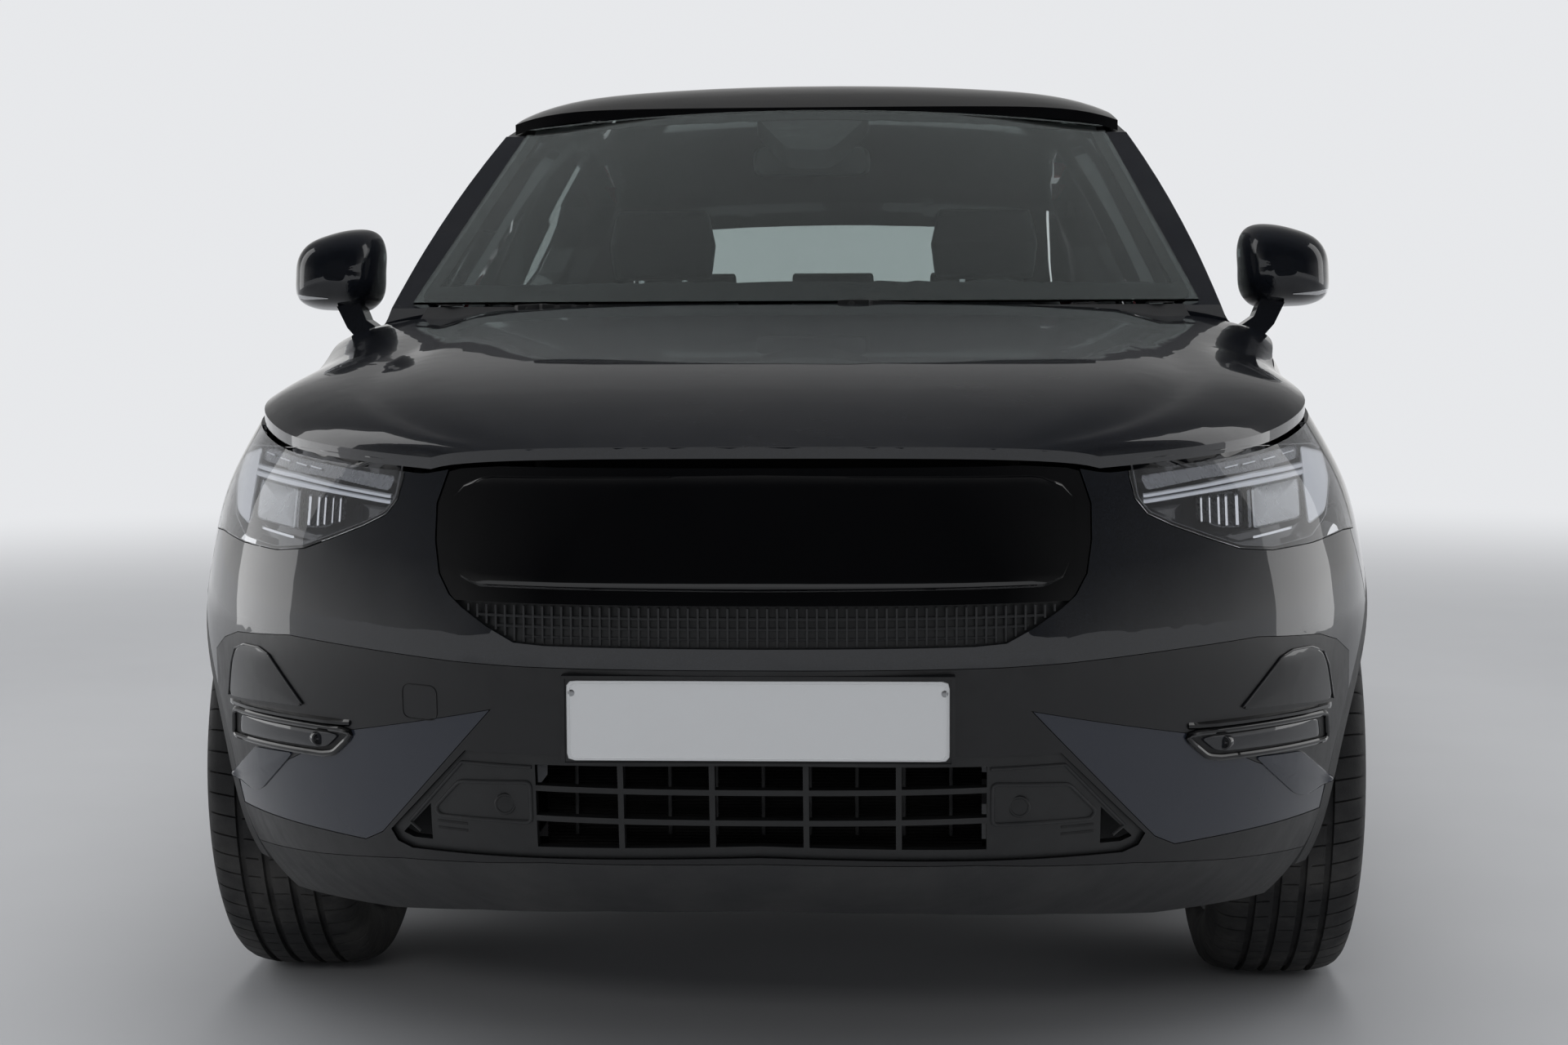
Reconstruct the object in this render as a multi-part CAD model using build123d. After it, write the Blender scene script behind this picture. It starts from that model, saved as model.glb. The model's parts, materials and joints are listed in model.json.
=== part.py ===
"""Electric crossover: five-door body on a flat battery floor, with working wheels, steering,
doors, bonnet and tailgate.

Frame: millimetres, +X to the car's left, -Y to the front, +Z up, origin on the road at the
middle of the car. Left-hand pieces are drawn and right-hand ones are their mirror images.
"""
from build123d import *
import math
import os
import numpy as np

# ---------------------------------------------------------------- driving dimensions
HALF_LENGTH = 2220.0
WHEELBASE = 2702.0
FRONT_AXLE = -1348.0             # y of the front wheel centres
REAR_AXLE = FRONT_AXLE + WHEELBASE
WHEEL_X = 795.0                  # half track
TYRE_R_FRONT, TYRE_W_FRONT = 358.0, 235.0
TYRE_R_REAR, TYRE_W_REAR = 356.0, 250.0
RIM_R = 241.0                    # bead seat of a 19 inch rim
ARCH_R = 392.0                   # wheel opening in the outer skin
LINER_R = 412.0                  # wheel housing, which clears the steered tyre
LINER_T = 4.0
LINER_IN = 26.0                  # wheel housing's edge inside the outer skin
TOWER_WALL = 472.0               # outer face of the strut towers' upright walls
CARRIER_X = 735.0                # wheel carriers, inside the wheels

SKIN = 10.0                      # bumpers and wings
DOOR_T = 70.0                    # whole door, skin to trim
LIP_T, LIP_W = 12.0, 24.0        # outer skin's lip past the door's body, so that the rear edge can swing out
PILLAR_T = 80.0                  # whole side wall where no door covers it
SHUT = 6.5                       # shut line between panels
SEAT = 0.3                       # running clearance where pieces bear on each other
FRAME_IN, FRAME_T = PILLAR_T + 1.2, 42.0     # pillars and sill behind the doors
GLASS_T = 5.0

SILL_Z = 300.0                   # lower edge of the doors
FLOOR_Z = 300.0                  # underside of the floor sheet
B_Y = 180.0                      # rear edge of the front door
DOOR_Y = -797.0                  # front edge of the front door
HINGE_BACK = 70.0                # door hinge axis behind the door's front edge
HINGES = (700.0, 850.0)          # heights of the two hinges of each door
FLOOR_HALF = 742.0               # half width of the cabin floor
FLOOR_T = 12.0
BOOT_Z = 560.0                   # underside of the boot floor
BOOT_Y = 985.0                   # step up from cabin floor to boot floor
DASH_WALL = -878.0               # bulkhead between cabin and front trunk
BUMPER_TOP = 660.0               # top of the rear bumper
TAIL_Y = 1840.0                  # front edge of the tail lamps
LAMP_X = 626.0                   # inner edge of the tail lamps
ARCH_CUT = 420.0                 # painted skins stop here, under the arch mouldings
BONNET_HINGE = (775.0, -790.0, 1020.0)
BONNET_DIP = 12.0                # trimmed off the bonnet's rear edge, which swings towards the windscreen
GATE_HINGE = (250.0, 1466.0, 1391.0)
BALL_Z = 235.0                   # lower ball joints
BALL_X = 713.0
ARM_T = 22.0                     # lower arms
KINGPIN_TOP = (592.0, 929.0)     # strut top mount: x, z
BALL_R, CUP_R = 12.0, 20.0       # lower ball joint and strut top bearing
HUB_X = 766.0                    # face of the wheel flange
STUB_R = 26.0
HINGE_PIN_R = 4.0
WHEEL_HUB = np.array([370, -330, 985.0])     # steering wheel centre
STEER_AXIS = np.array([0, .906, .423])       # steering column, towards the driver


class Curve:
    """Natural cubic through (t, value) pairs, straight beyond its ends."""

    def __init__(self, *pairs):
        t, v = (np.array(c, float) for c in zip(*pairs))
        n, h = len(t), np.diff(t)
        a, b = np.eye(n), np.zeros(n)
        for i in range(1, n - 1):
            a[i, i - 1:i + 2] = h[i - 1], 2 * (h[i - 1] + h[i]), h[i]
            b[i] = 3 * ((v[i + 1] - v[i]) / h[i] - (v[i] - v[i - 1]) / h[i - 1])
        c = np.linalg.solve(a, b)
        self.t, self.v, self.c = t, v, c
        self.d = (c[1:] - c[:-1]) / (3 * h)
        self.b = (v[1:] - v[:-1]) / h - h * (2 * c[:-1] + c[1:]) / 3

    def __call__(self, x):
        x = np.asarray(x, float)
        y = np.clip(x, self.t[0], self.t[-1])
        k = np.clip(np.searchsorted(self.t, y) - 1, 0, len(self.t) - 2)
        s = y - self.t[k]
        return self.v[k] + s * (self.b[k] + s * (self.c[k] + s * self.d[k]))


# ---------------------------------------------------------------- body surface
# Half plan at the widest level, nose centre to tail centre.
PLAN = [(0, -HALF_LENGTH), (200, -2211), (380, -2168), (520, -2095), (655, -1998), (772, -1885), (862, -1755),
        (912, -1640), (931, -1520), (936.5, -1390), (932, -1200), (915, -980), (906, -700), (903, -300),
        (904, 100), (908, 500), (918, 900), (932, 1180), (936.5, 1400), (930, 1600), (902, 1800),
        (835, 1970), (700, 2095), (485, 2172), (250, 2208), (0, HALF_LENGTH)]
NOSE = Curve((200, -2030), (260, -2110), (330, -2172), (420, -2196), (520, -2212), (620, -2220),
             (720, -2213), (820, -2193), (920, -2160), (1050, -2100), (1180, -2030))
TAIL = Curve((200, 2040), (260, 2090), (350, 2150), (450, 2190), (600, 2216), (700, 2220), (780, 2202),
             (880, 2182), (1000, 2168), (1080, 2170), (1180, 2160))
FRONT_WIDTH = Curve((200, .93), (260, .955), (330, .973), (430, .988), (540, .998), (620, 1.0), (700, .992),
                    (760, .980), (820, .963), (870, .940), (920, .910), (1000, .86), (1100, .80), (1180, .75))
SIDE_WIDTH = Curve((200, .935), (260, .958), (340, .975), (430, .984), (540, .991), (650, 1.0), (760, 1.012),
                   (850, 1.008), (930, .99), (1000, .967), (1060, .946), (1180, .90))
BELT = Curve((-800, 800), (-400, 835), (100, 855), (700, 855), (1200, 838), (1600, 798), (2000, 735))
ROOF = Curve((-300, 1506), (-100, 1568), (100, 1591), (300, 1596), (600, 1583), (900, 1545), (1200, 1480),
             (1500, 1392), (1800, 1285))
BELT_Z = 1060.0
ROOF_DROP = 58.0                 # roof centre line down to the top of the side wall

_loop = [(-x, y) for x, y in PLAN[3:0:-1]] + PLAN + [(-x, y) for x, y in PLAN[-2:-5:-1]]
_lx, _ly = np.array(_loop, float).T
_ls = np.concatenate([[0], np.cumsum(np.hypot(np.diff(_lx), np.diff(_ly)))])
_s = np.linspace(_ls[3], _ls[3 + len(PLAN) - 1], 500)
PLAN_X = Curve(*zip(_ls, _lx))(_s)
PLAN_Y = Curve(*zip(_ls, _ly))(_s)


def smooth(a, b, x):
    t = np.clip((np.asarray(x, float) - a) / (b - a), 0, 1)
    return t * t * (3 - 2 * t)


def body_point(x, y, z):
    """Points of the widest plan carried to height z: drawn in at nose, tail and sides."""
    front = np.clip((FRONT_AXLE - y) / (FRONT_AXLE + HALF_LENGTH), 0, 1)
    rear = np.clip((y - REAR_AXLE) / (HALF_LENGTH - REAR_AXLE), 0, 1)
    y = y + (NOSE(z) + HALF_LENGTH) * front + (TAIL(z) - HALF_LENGTH) * rear
    mid = smooth(-1350, -800, y)
    return x * (FRONT_WIDTH(z) * (1 - mid) + SIDE_WIDTH(z) * mid), y


def half_width(y, z):
    """Half width of the lower body at station y and height z, with the doors hollowed low down."""
    px, py = body_point(PLAN_X, PLAN_Y, z)
    hollow = smooth(-900, -500, y) * (1 - smooth(500, 900, y))
    return float(np.interp(y, py[3:-3], px[3:-3]) - 13 * hollow * math.exp(-((z - 450) / 95) ** 2))


def side_x(y, z):
    """Half width of the whole side: lower body to the belt, leaning glass line above it."""
    rise = z - BELT_Z
    upper = float(BELT(y)) - .36 * rise - .00028 * rise * rise
    if z > BELT_Z + 30:
        return upper
    lower = half_width(y, min(z, 1120))
    mix = float(smooth(BELT_Z - 60, BELT_Z + 30, z))
    return lower * (1 - mix) + upper * mix


def shoulder(y, z):
    """Share of the widest plan that is left at height z above the tail's shoulder, fading out round the corner."""
    lean = side_x(TAIL_Y, z) / half_width(TAIL_Y, z)
    return 1 - (1 - lean) * (1 - float(smooth(TAIL_Y, TAIL_Y + 200, y)))


def tail_x(y, z):
    """Half width of the body at its rear quarter."""
    return side_x(y, z) if y <= TAIL_Y else half_width(y, z) * shoulder(y, z)


def wrap(z_low, z_top, y_end, count, levels):
    """Rows of points round one end of the car, from side to side, rising from z_low to z_top(x)."""
    tail = y_end > 0
    px, py = (PLAN_X[::-1], PLAN_Y[::-1]) if tail else (PLAN_X, PLAN_Y)
    s = np.concatenate([[0], np.cumsum(np.hypot(np.diff(px), np.diff(py)))])
    q = np.linspace(0, np.interp(y_end, py, s) if not tail else np.interp(-y_end, -py, s), count)
    px, py = np.interp(q, s, px), np.interp(q, s, py)
    rows = []
    for t in np.linspace(0, 1, levels):
        half = []
        for x, y in zip(px, py):
            z = z_low + (z_top(x, y) - z_low) * t
            bx, by = body_point(x, y, z)
            if tail and z > 960:
                bx = bx * shoulder(by, z)
            half.append((float(bx), float(by), float(z)))
        rows.append([(-x, y, z) for x, y, z in half[:0:-1]] + half)
    return rows


# ---------------------------------------------------------------- building helpers
def surface(rows, tol=.3):
    """One smooth face through a grid of points."""
    grid = [[Vector(*p) for p in row] for row in rows]
    return Face.make_surface_from_array_of_points(grid, tol=tol, min_deg=3, max_deg=3)


def moved_in(rows, depth, inside):
    """The grid moved along its normals towards the point `inside`."""
    p = np.array(rows, float)
    n = np.cross(np.gradient(p, axis=1), np.gradient(p, axis=0))
    n /= np.linalg.norm(n, axis=2, keepdims=True)
    i, j = p.shape[0] // 2, p.shape[1] // 2
    if np.dot(n[i, j], np.array(inside) - p[i, j]) < 0:
        n = -n
    return p + n * depth


def between(outer_rows, inner_rows):
    """Closed solid between two grids of points, with ruled edges."""
    a, b = surface(outer_rows), surface(inner_rows)
    rims = b.edges()
    faces = [a, b]
    for edge in a.edges():
        mid = edge.position_at(.5)
        mate = min(rims, key=lambda e: (e.position_at(.5) - mid).length)
        faces.append(Face.make_surface_from_curves(edge, mate))
    return Solid(Shell(faces))


def slab(rows, inset, thickness, inside):
    """Sheet of a given thickness under a surface, its outer face `inset` inside it."""
    outer = moved_in(rows, inset, inside) if inset else rows
    return between(outer, moved_in(rows, inset + thickness, inside))


def poly(points, radius=0):
    """Flat outline in its own plane, corners rounded by radius."""
    face = Face(Wire.make_polygon([Vector(*p) for p in points], close=True))
    return face.fillet_2d(radius, face.vertices()) if radius else face


def along_x(points, x0, x1, radius=0):
    """Prism along X over an outline of (y, z) points."""
    return extrude(poly([(x0, y, z) for y, z in points], radius), x1 - x0, dir=(1, 0, 0)).solid()


def along_y(points, y0, y1, radius=0):
    """Prism along Y over an outline of (x, z) points."""
    return extrude(poly([(x, y0, z) for x, z in points], radius), y1 - y0, dir=(0, 1, 0)).solid()


def along_z(points, z0, z1, radius=0):
    """Prism along Z over an outline of (x, y) points."""
    return extrude(poly([(x, y, z0) for x, y in points], radius), z1 - z0, dir=(0, 0, 1)).solid()


def block(x0, x1, y0, y1, z0, z1, radius=0):
    """Box between two corners, its upright edges rounded by radius."""
    return along_z([(x0, y0), (x1, y0), (x1, y1), (x0, y1)], z0, z1, radius)


def rod(a, b, radius):
    """Round bar from point a to point b."""
    a, b = Vector(*a), Vector(*b)
    return Solid.make_cylinder(radius, (b - a).length, Plane(origin=a, z_dir=b - a))


def grown(points, amount):
    """The outline's points moved outwards by amount, or inwards if negative."""
    p = np.array(points, float)
    area = np.sum(p[:, 0] * np.roll(p[:, 1], -1) - np.roll(p[:, 0], -1) * p[:, 1])
    if area < 0:
        p = p[::-1]
    before = p - np.roll(p, 1, axis=0)
    after = np.roll(p, -1, axis=0) - p
    n1 = np.stack([before[:, 1], -before[:, 0]], 1) / np.linalg.norm(before, axis=1)[:, None]
    n2 = np.stack([after[:, 1], -after[:, 0]], 1) / np.linalg.norm(after, axis=1)[:, None]
    n = (n1 + n2) / (1 + np.sum(n1 * n2, axis=1))[:, None]
    return [tuple(map(float, q)) for q in p + n * amount]


def both(points):
    """Outline across the car from its left half, whose ends lie on the centre line."""
    return list(points) + [(-x, z) for x, z in reversed(points) if x > 1e-6]


def flip(shape):
    return mirror(shape, about=Plane.YZ)


def solids(shape):
    return list(shape.solids())


def largest(shape):
    return max(solids(shape), key=lambda s: s.volume)


def fuse(first, *rest):
    for other in rest:
        first = first + other
    return first


NODES = {}


def node(name, *shapes):
    """Keep the solids of the shapes as the node `name`."""
    out = [s for shape in shapes for s in solids(shape)]
    NODES[name] = Compound(children=out) if len(out) > 1 else out[0]


def pair(name, *shapes):
    """Left-hand shapes and their mirror images in one node."""
    node(name, *shapes, *[flip(s) for s in shapes])


def two(name, shape):
    """A left-hand node and its mirror image."""
    node(f"{name}_left", shape)
    node(f"{name}_right", flip(shape))


# ---------------------------------------------------------------- skins
CABIN = (0, 0, 800)


def side_rows(y0, y1, z0, z1, ny=36, nz=26):
    return [[(side_x(y, z), y, z) for y in np.linspace(y0, y1, ny)] for z in np.linspace(z0, z1, nz)]


def side_skin(y0, y1, z0, z1, inset, thickness, ny=36, nz=26):
    """Left side wall between two stations, its outer face `inset` inside the body surface."""
    return slab(side_rows(y0, y1, z0, z1, ny, nz), inset, thickness, CABIN)


def shut_z(x, y):
    """Height of the bonnet's shut line above point (x, y) of the widest plan."""
    vs = np.linspace(0, 1, 41)
    corner = half_width(float(EDGE_Y(0)), float(EDGE_Z(0)))
    z = 900.0
    for _ in range(4):
        px, py = body_point(x, y, z)
        if px < corner:
            z = bonnet_point(px / corner, 0)[2] - BONNET_T
        else:
            z = float(np.interp(py, EDGE_Y(vs), EDGE_Z(vs)))
    return z


def nose_skin(inset, thickness, z_low=215.0):
    """Skin wrapped round the nose up to the bonnet, its outer face `inset` inside the body surface."""
    rows = wrap(z_low, lambda x, y: shut_z(x, y) - SHUT, -1560.0, 29, 16)
    return slab(rows, inset, thickness, (0, -1700, 620))


def tail_skin(inset, thickness, z_low, z_top=None, y_end=1600.0):
    """Skin wrapped round the tail, up to z_top or to the deck strips beside the tailgate."""
    def deck(x, y):
        drawn_in = 50 * (y - REAR_AXLE) / (HALF_LENGTH - REAR_AXLE)
        return float(DECK_Z(y - drawn_in)) if z_top is None else z_top
    return slab(wrap(z_low, deck, y_end, 25, 16), inset, thickness, (0, 1800, 700))


def arch(y, z, radius, x0=300.0, x1=1100.0):
    """Left wheel opening: a drum along X about the wheel centre, open at the bottom."""
    return rod((x0, y, z), (x1, y, z), radius) + block(x0, x1, y - radius, y + radius, z - 400, z)


# Bonnet edge from the front corner to the windscreen corner: station, height of its shut line.
EDGE_Y = Curve((0, -2064), (.1, -1968), (.2, -1850), (.3, -1735), (.4, -1610), (.6, -1360), (.8, -1085), (1, -806))
EDGE_Z = Curve((0, 886), (.1, 893), (.2, 904), (.3, 922), (.4, 943), (.6, 973), (.8, 1003), (1, 1036))
MID_Y = Curve((0, -2164), (.1, -2095), (.2, -1985), (.3, -1860), (.4, -1730), (.6, -1460), (.8, -1190), (1, -925))
MID_Z = Curve((-2164, 922), (-2110, 944), (-2050, 965), (-1900, 1001), (-1600, 1046), (-1300, 1083), (-1000, 1108),
              (-925, 1113))
BONNET_T = 16.0


def bonnet_point(u, v):
    """Bonnet: a broad dome between two creases, then shoulders that fall to the wings.

    u runs across from -1 to 1 and v from the nose to the windscreen.
    """
    a = min(abs(u), 1.0)
    ye, ze, yc = float(EDGE_Y(v)), float(EDGE_Z(v)), float(MID_Y(v))
    zc = float(MID_Z(yc))
    fall = (1 - (1 - (.97 * a) ** 3) ** (1 / 3)) / (1 - (1 - .97 ** 3) ** (1 / 3))
    crease = 7 * math.exp(-((a - .76) / .05) ** 2) * float(smooth(0, .15, v))
    x = u * (half_width(ye, ze) - 1)
    y = yc + (ye - yc) * a ** (3 - .8 * v)
    return x, y, zc - (zc - ze - BONNET_T) * fall - crease


def roof_point(u, v):
    """Roof: a low crown that rolls down to the side walls; v runs from front to rear."""
    y = (-263 + 102 * u * u) * (1 - v) + ROOF_END * v
    zc = float(ROOF(y))
    return u * (side_x(y, zc - ROOF_DROP) - 1), y, zc - 30 * u * u - 28 * abs(u) ** 8


def windscreen_point(u, v):
    """Windscreen: swept back and bowed across, v from the scuttle to the roof."""
    bow = 4 * v * (1 - v)
    x = u * (744 + (604 - 744) * v)
    y = (-892 + 614 * v) + (124 + (106 - 124) * v) * u * u - 5 * bow
    z = 1119 + (1512 - 1119) * v - 28 * v * u * u + 9 * bow * (1 - u * u)
    return x, y, z


ROOF_T = 22.0
ROOF_END = 1450.0
GATE_FRONT = ROOF_END + 12       # the tailgate's top edge
# Tailgate outer and inner profiles on the centre line.
GATE = [(1440, 1411), (1600, 1345), (1760, 1264), (1900, 1190), (1985, 1147), (2040, 1127), (2100, 1117),
        (2140, 1106), (2158, 1080), (2165, 1030), (2172, 960), (2182, 890), (2200, 800), (2211, 735), (2214, 668)]
GATE_IN = [(1440, 1371), (1585, 1308), (1740, 1228), (1880, 1152), (1955, 1108), (1995, 1085), (2030, 1062),
           (2060, 1035), (2085, 1005), (2105, 970), (2120, 920), (2135, 870), (2148, 800), (2158, 735), (2162, 668)]
GATE_HALF = Curve((0, 570), (.25, 588), (.5, 608), (.62, 617), (.75, 610), (1, 600))
# Top of the side walls and tail lamps, where the deck strips beside the tailgate sit on them.
DECK_Z = Curve((1450, 1326), (1551, 1312), (1647, 1262), (1736, 1204), (1826, 1134), (1880, 1104), (1926, 1090),
               (2020, 1068), (2045, 1050), (2200, 1040))
DECK_T = 24.0


def gate_curves(profile):
    """Station and height of a tailgate profile against its share of length from roof to bumper."""
    s = np.concatenate([[0], np.cumsum([math.dist(a, b) for a, b in zip(profile, profile[1:])])])
    return [Curve(*zip(s / s[-1], [p[i] for p in profile])) for i in (0, 1)]


def gate_point(curves, u, v):
    """Tailgate: its profile swept across, drawn forward and down towards its sides."""
    steep = float(smooth(.5, .72, v))
    sweep = 60 * float(smooth(.05, .5, v)) + 42 * float(smooth(.5, .68, v)) - 21 * float(smooth(.75, 1, v))
    y, z = (float(c(v)) for c in curves)
    return u * float(GATE_HALF(v)), y - sweep * u * u, z - (26 - 18 * steep) * u * u


def gate_rows(profile, nu=17, nv=41):
    curves = gate_curves(profile)
    return [[gate_point(curves, u, v) for u in np.linspace(-1, 1, nu)] for v in np.linspace(0, 1, nv)]


# ---------------------------------------------------------------- outlines
RAIL = ROOF_DROP + ROOF_T + .8     # roof centre line down to the top of the side wall
R0 = B_Y + SHUT
REAR_GAP = 446.0                 # rear door's lower edge about the rear axle
FRONT_DOOR = [(DOOR_Y, SILL_Z), (DOOR_Y, 1005), (-752, 1071), (-170, 1428), (-50, 1468), (70, 1482),
              (B_Y, 1488), (B_Y, SILL_Z)]
FRONT_WINDOW = [(-665, 1082), (-165, 1387), (-35, 1427), (135, 1443), (135, 1100)]
REAR_DOOR = ([(R0, SILL_Z), (R0, 1488), (400, 1488), (600, 1478), (900, 1441), (1075, 1403), (1150, 1355),
              (1188, 1262), (1172, 1090), (1160, 780)]
             + [(REAR_AXLE - REAR_GAP * math.sin(t), TYRE_R_REAR + REAR_GAP * math.cos(t))
                for t in np.radians(np.linspace(32, 92, 6))] + [(908, SILL_Z)])
REAR_WINDOW = [(225, 1103), (225, 1444), (400, 1446), (600, 1435), (880, 1398), (1030, 1364), (1090, 1320),
               (1108, 1258), (1085, 1196), (1000, 1152), (700, 1122)]

# Front face outlines (x, z), left half.
PANEL = [(0, 1000), (400, 1000), (440, 885), (455, 840), (455, 790), (448, 745), (432, 717),
         (412, 700), (375, 676), (336, 656), (292, 653), (0, 652)]
PANEL_TOP, PANEL_LOW = 895.0, 708.0
LAMP = [(509, 1000), (965, 1000), (965, 760), (860, 768), (800, 759), (729, 756), (675, 763), (623, 782),
        (572, 802), (535, 820), (517, 842), (509, 874)]
LAMP_BACK = -1655.0              # rear end of the headlamp on the wing
BUMPER_BACK = -1690.0            # bumper ends here above the wheel opening
TAIL_LAMP = [(LAMP_X, 705), (LAMP_X, 1300), (1000, 1300), (1000, 905), (800, 880), (760, 705)]
TRIM_TOP = [(0, 624), (330, 624), (427, 626), (590, 633), (702, 637), (809, 626), (842, 612), (868, 588)]
INTAKE = [(0, 507), (412, 500), (536, 370), (526, 353), (503, 345), (0, 360)]
BLADE = [(370, 562), (600, 509), (618, 500), (704, 452), (868, 372), (868, 352), (581, 346), (550, 363)]
LIP_TOP = [(0, 351), (300, 345), (522, 326), (668, 306), (860, 286), (965, 282)]
SKIRT_LOW = [(965, 219), (700, 220), (560, 225), (410, 249), (220, 265), (0, 271)]
NOSE_Y = (-2400.0, -1450.0)
PLATE_W, PLATE_H = 520.0, 112.0  # number plate
PLATE_Y, PLATE_Z = -2221.5, 555.0


# ---------------------------------------------------------------- painted body
def make_nose():
    wheel = arch(FRONT_AXLE, TYRE_R_FRONT, ARCH_CUT)
    keep = along_x([(-2400, 0), (-2400, 1200), (BUMPER_BACK, 1200), (BUMPER_BACK, 812), (-1640, 640), (-1640, 0)],
                   -1200, 1200)
    skin = (nose_skin(0, SKIN) & keep) - wheel - flip(wheel)
    lip_zone = along_y(both(LIP_TOP + [(965, 150), (0, 150)]), *NOSE_Y)
    skirt_zone = along_y(both([(x, z - 1) for x, z in LIP_TOP] + SKIRT_LOW), *NOSE_Y)
    node("front_skirt", largest(skin & skirt_zone))
    lamp = along_y(LAMP, NOSE_Y[0], LAMP_BACK)
    nose = skin - lip_zone - along_y(both(PANEL), *NOSE_Y) - lamp - flip(lamp)
    trim_zone = along_y(both(TRIM_TOP + [(880, 250), (0, 250)]), NOSE_Y[0], -1715)
    node("front_bumper", largest(nose - trim_zone))
    trim = nose & along_y(both([(x, z - 1) for x, z in TRIM_TOP] + [(879, 250), (0, 250)]), NOSE_Y[0], -1716)
    blade = along_y(BLADE, NOSE_Y[0], -1600)
    trim = trim - along_y(both(INTAKE), *NOSE_Y) - blade - flip(blade)
    w, low, high = PLATE_W / 2 + 1, PLATE_Z - PLATE_H / 2, PLATE_Z + PLATE_H / 2
    holder = block(-w - 5, w + 5, PLATE_Y, PLATE_Y + 9, low - 5, high + 5)
    holder = holder - block(-w, w, PLATE_Y - 1, PLATE_Y + 3, low - 1, high + 1)
    backing = block(-w - 5, w + 5, PLATE_Y + 9, -2192, 512, high + 5)
    node("front_lower_trim", largest(fuse(trim, holder, backing)))
    piece = nose_skin(1, 6) & along_y(grown(BLADE, -1), NOSE_Y[0], -1716)
    pair("front_blades", largest(piece - wheel))
    face = both([(0, PANEL_TOP), (405, PANEL_TOP)] + PANEL[2:7] + [(424, PANEL_LOW), (0, PANEL_LOW)])
    node("grille_panel", largest(nose_skin(2, 6) & along_y(grown(face, -2), *NOSE_Y)))
    lens = nose_skin(0, 4) & along_y(grown(LAMP, -1.5), NOSE_Y[0], LAMP_BACK - 1)
    pair("headlamp_lenses", largest(lens))
    housing = nose_skin(4 + SEAT, 60) & along_y(grown(LAMP, -SEAT), NOSE_Y[0], LAMP_BACK - SEAT)
    pair("headlamp_housings", largest(housing))


def make_grilles():
    zone = along_y(grown(both(INTAKE), -1), *NOSE_Y)
    depth = nose_skin(6, 22)
    frame = depth & zone
    inner = along_y(grown(both(INTAKE), -16), *NOSE_Y)
    bars = [block(-460, 460, -2300, -1900, z - 4, z + 4) for z in (452, 409)]
    posts = [block(x - 4, x + 4, -2300, -1900, 340, 520) for x in (-190, -64, 64, 190)]
    sides = [block(min(s * 310, s * 470), max(s * 310, s * 470), -2300, -1900, 340, 520) for s in (1, -1)]
    web = fuse(bars[0], bars[1], *posts, *sides)
    lower = (frame - inner) + (frame & web)
    slot = [(0, 704), (405, 704)] + [(x - 3, z + 3) for x, z in PANEL[8:11]] + [(0, 655)]
    upper = nose_skin(SKIN + SEAT, 6) & along_y(grown(both(slot), 8), *NOSE_Y)
    node("front_grilles", largest(lower), largest(upper))


def make_bonnet():
    us, vs = np.linspace(-1, 1, 45), np.linspace(0, 1, 21)
    face = surface([[bonnet_point(u, v) for u in us] for v in vs])
    skin = extrude(face, BONNET_T, dir=(0, 0, -1)).solid()
    x, y, z = BONNET_HINGE
    arm = along_x([(y + 8, z - 8), (y + 8, z + 8), (y - 20, z + 12), (y - 75, z + 48), (y - 120, z + 48),
                   (y - 120, z + 30), (y - 70, z + 16), (y - 10, z - 8)], x - 5, x + 5)
    arm = arm - rod((x - 20, y, z), (x + 20, y, z), HINGE_PIN_R + SEAT)
    room = []
    for x in np.linspace(505, 735, 24):
        edge = bonnet_point(x / bonnet_point(1, 1)[0], 1)[1]
        room.append((x, edge + 3 - (BONNET_DIP + 3) * math.sin(math.pi * (x - 505) / 230)))
    room = along_z(room + [(735, -760), (505, -760)], 1062, 1150)
    node("bonnet", largest(fuse(skin, arm, flip(arm)) - room - flip(room)))


def make_wings():
    skin = side_skin(-1720, DOOR_Y - SHUT, 250, 1075, 0, SKIN, 26, 22)
    edge = [(float(EDGE_Y(v)), float(EDGE_Z(v)) - SHUT) for v in np.linspace(.25, 1, 12)]
    top = along_x([(-1900, edge[0][1])] + edge + [(-700, edge[-1][1] + 12), (-700, 1300), (-1900, 1300)], 0, 1200)
    front = along_x([(-1900, 1300), (BUMPER_BACK + 3, 1300), (BUMPER_BACK + 3, 811), (-1637, 641), (-1637, 200),
                     (-1900, 200)], 0, 1200)
    wing = skin - top - front - arch(FRONT_AXLE, TYRE_R_FRONT, ARCH_CUT)
    wing = wing - block(0, 1200, -1900, 0, 0, SILL_Z) - along_y(LAMP, NOSE_Y[0], LAMP_BACK)
    pair("front_wings", largest(wing))


def hinge_x(edge):
    """X of a left door's hinge axis: just inside the widest part of its skin."""
    return half_width(edge + HINGE_BACK, 765) - 15


def door_hinge(edge, z):
    """Body half of a door hinge: an upright pin on a plate that reaches in to the pillar."""
    x, y = hinge_x(edge), edge + HINGE_BACK
    pin = rod((x, y, z - 22), (x, y, z + 22), 4)
    plate = along_z([(x + 5, y + 4), (x + 2, y - 7), (x - 70, y - 22), (x - 70, y - 62), (x - 105, y - 62),
                     (x - 105, y - 6), (x - 4, y + 6)], z - 9, z + 9)
    return pin + plate


def door_pocket(edge, z):
    """Space the hinge plate needs inside the door, from shut to wide open."""
    x, y = hinge_x(edge), edge + HINGE_BACK
    room = along_z([(x - 110, y + 2), (x + 2, y + 9), (x + 8, y), (x + 2, y - 80), (x - 110, y - 80)],
                   z - 14, z + 14)
    return room + rod((x, y, z - 23), (x, y, z + 23), 4 + SEAT)


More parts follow.
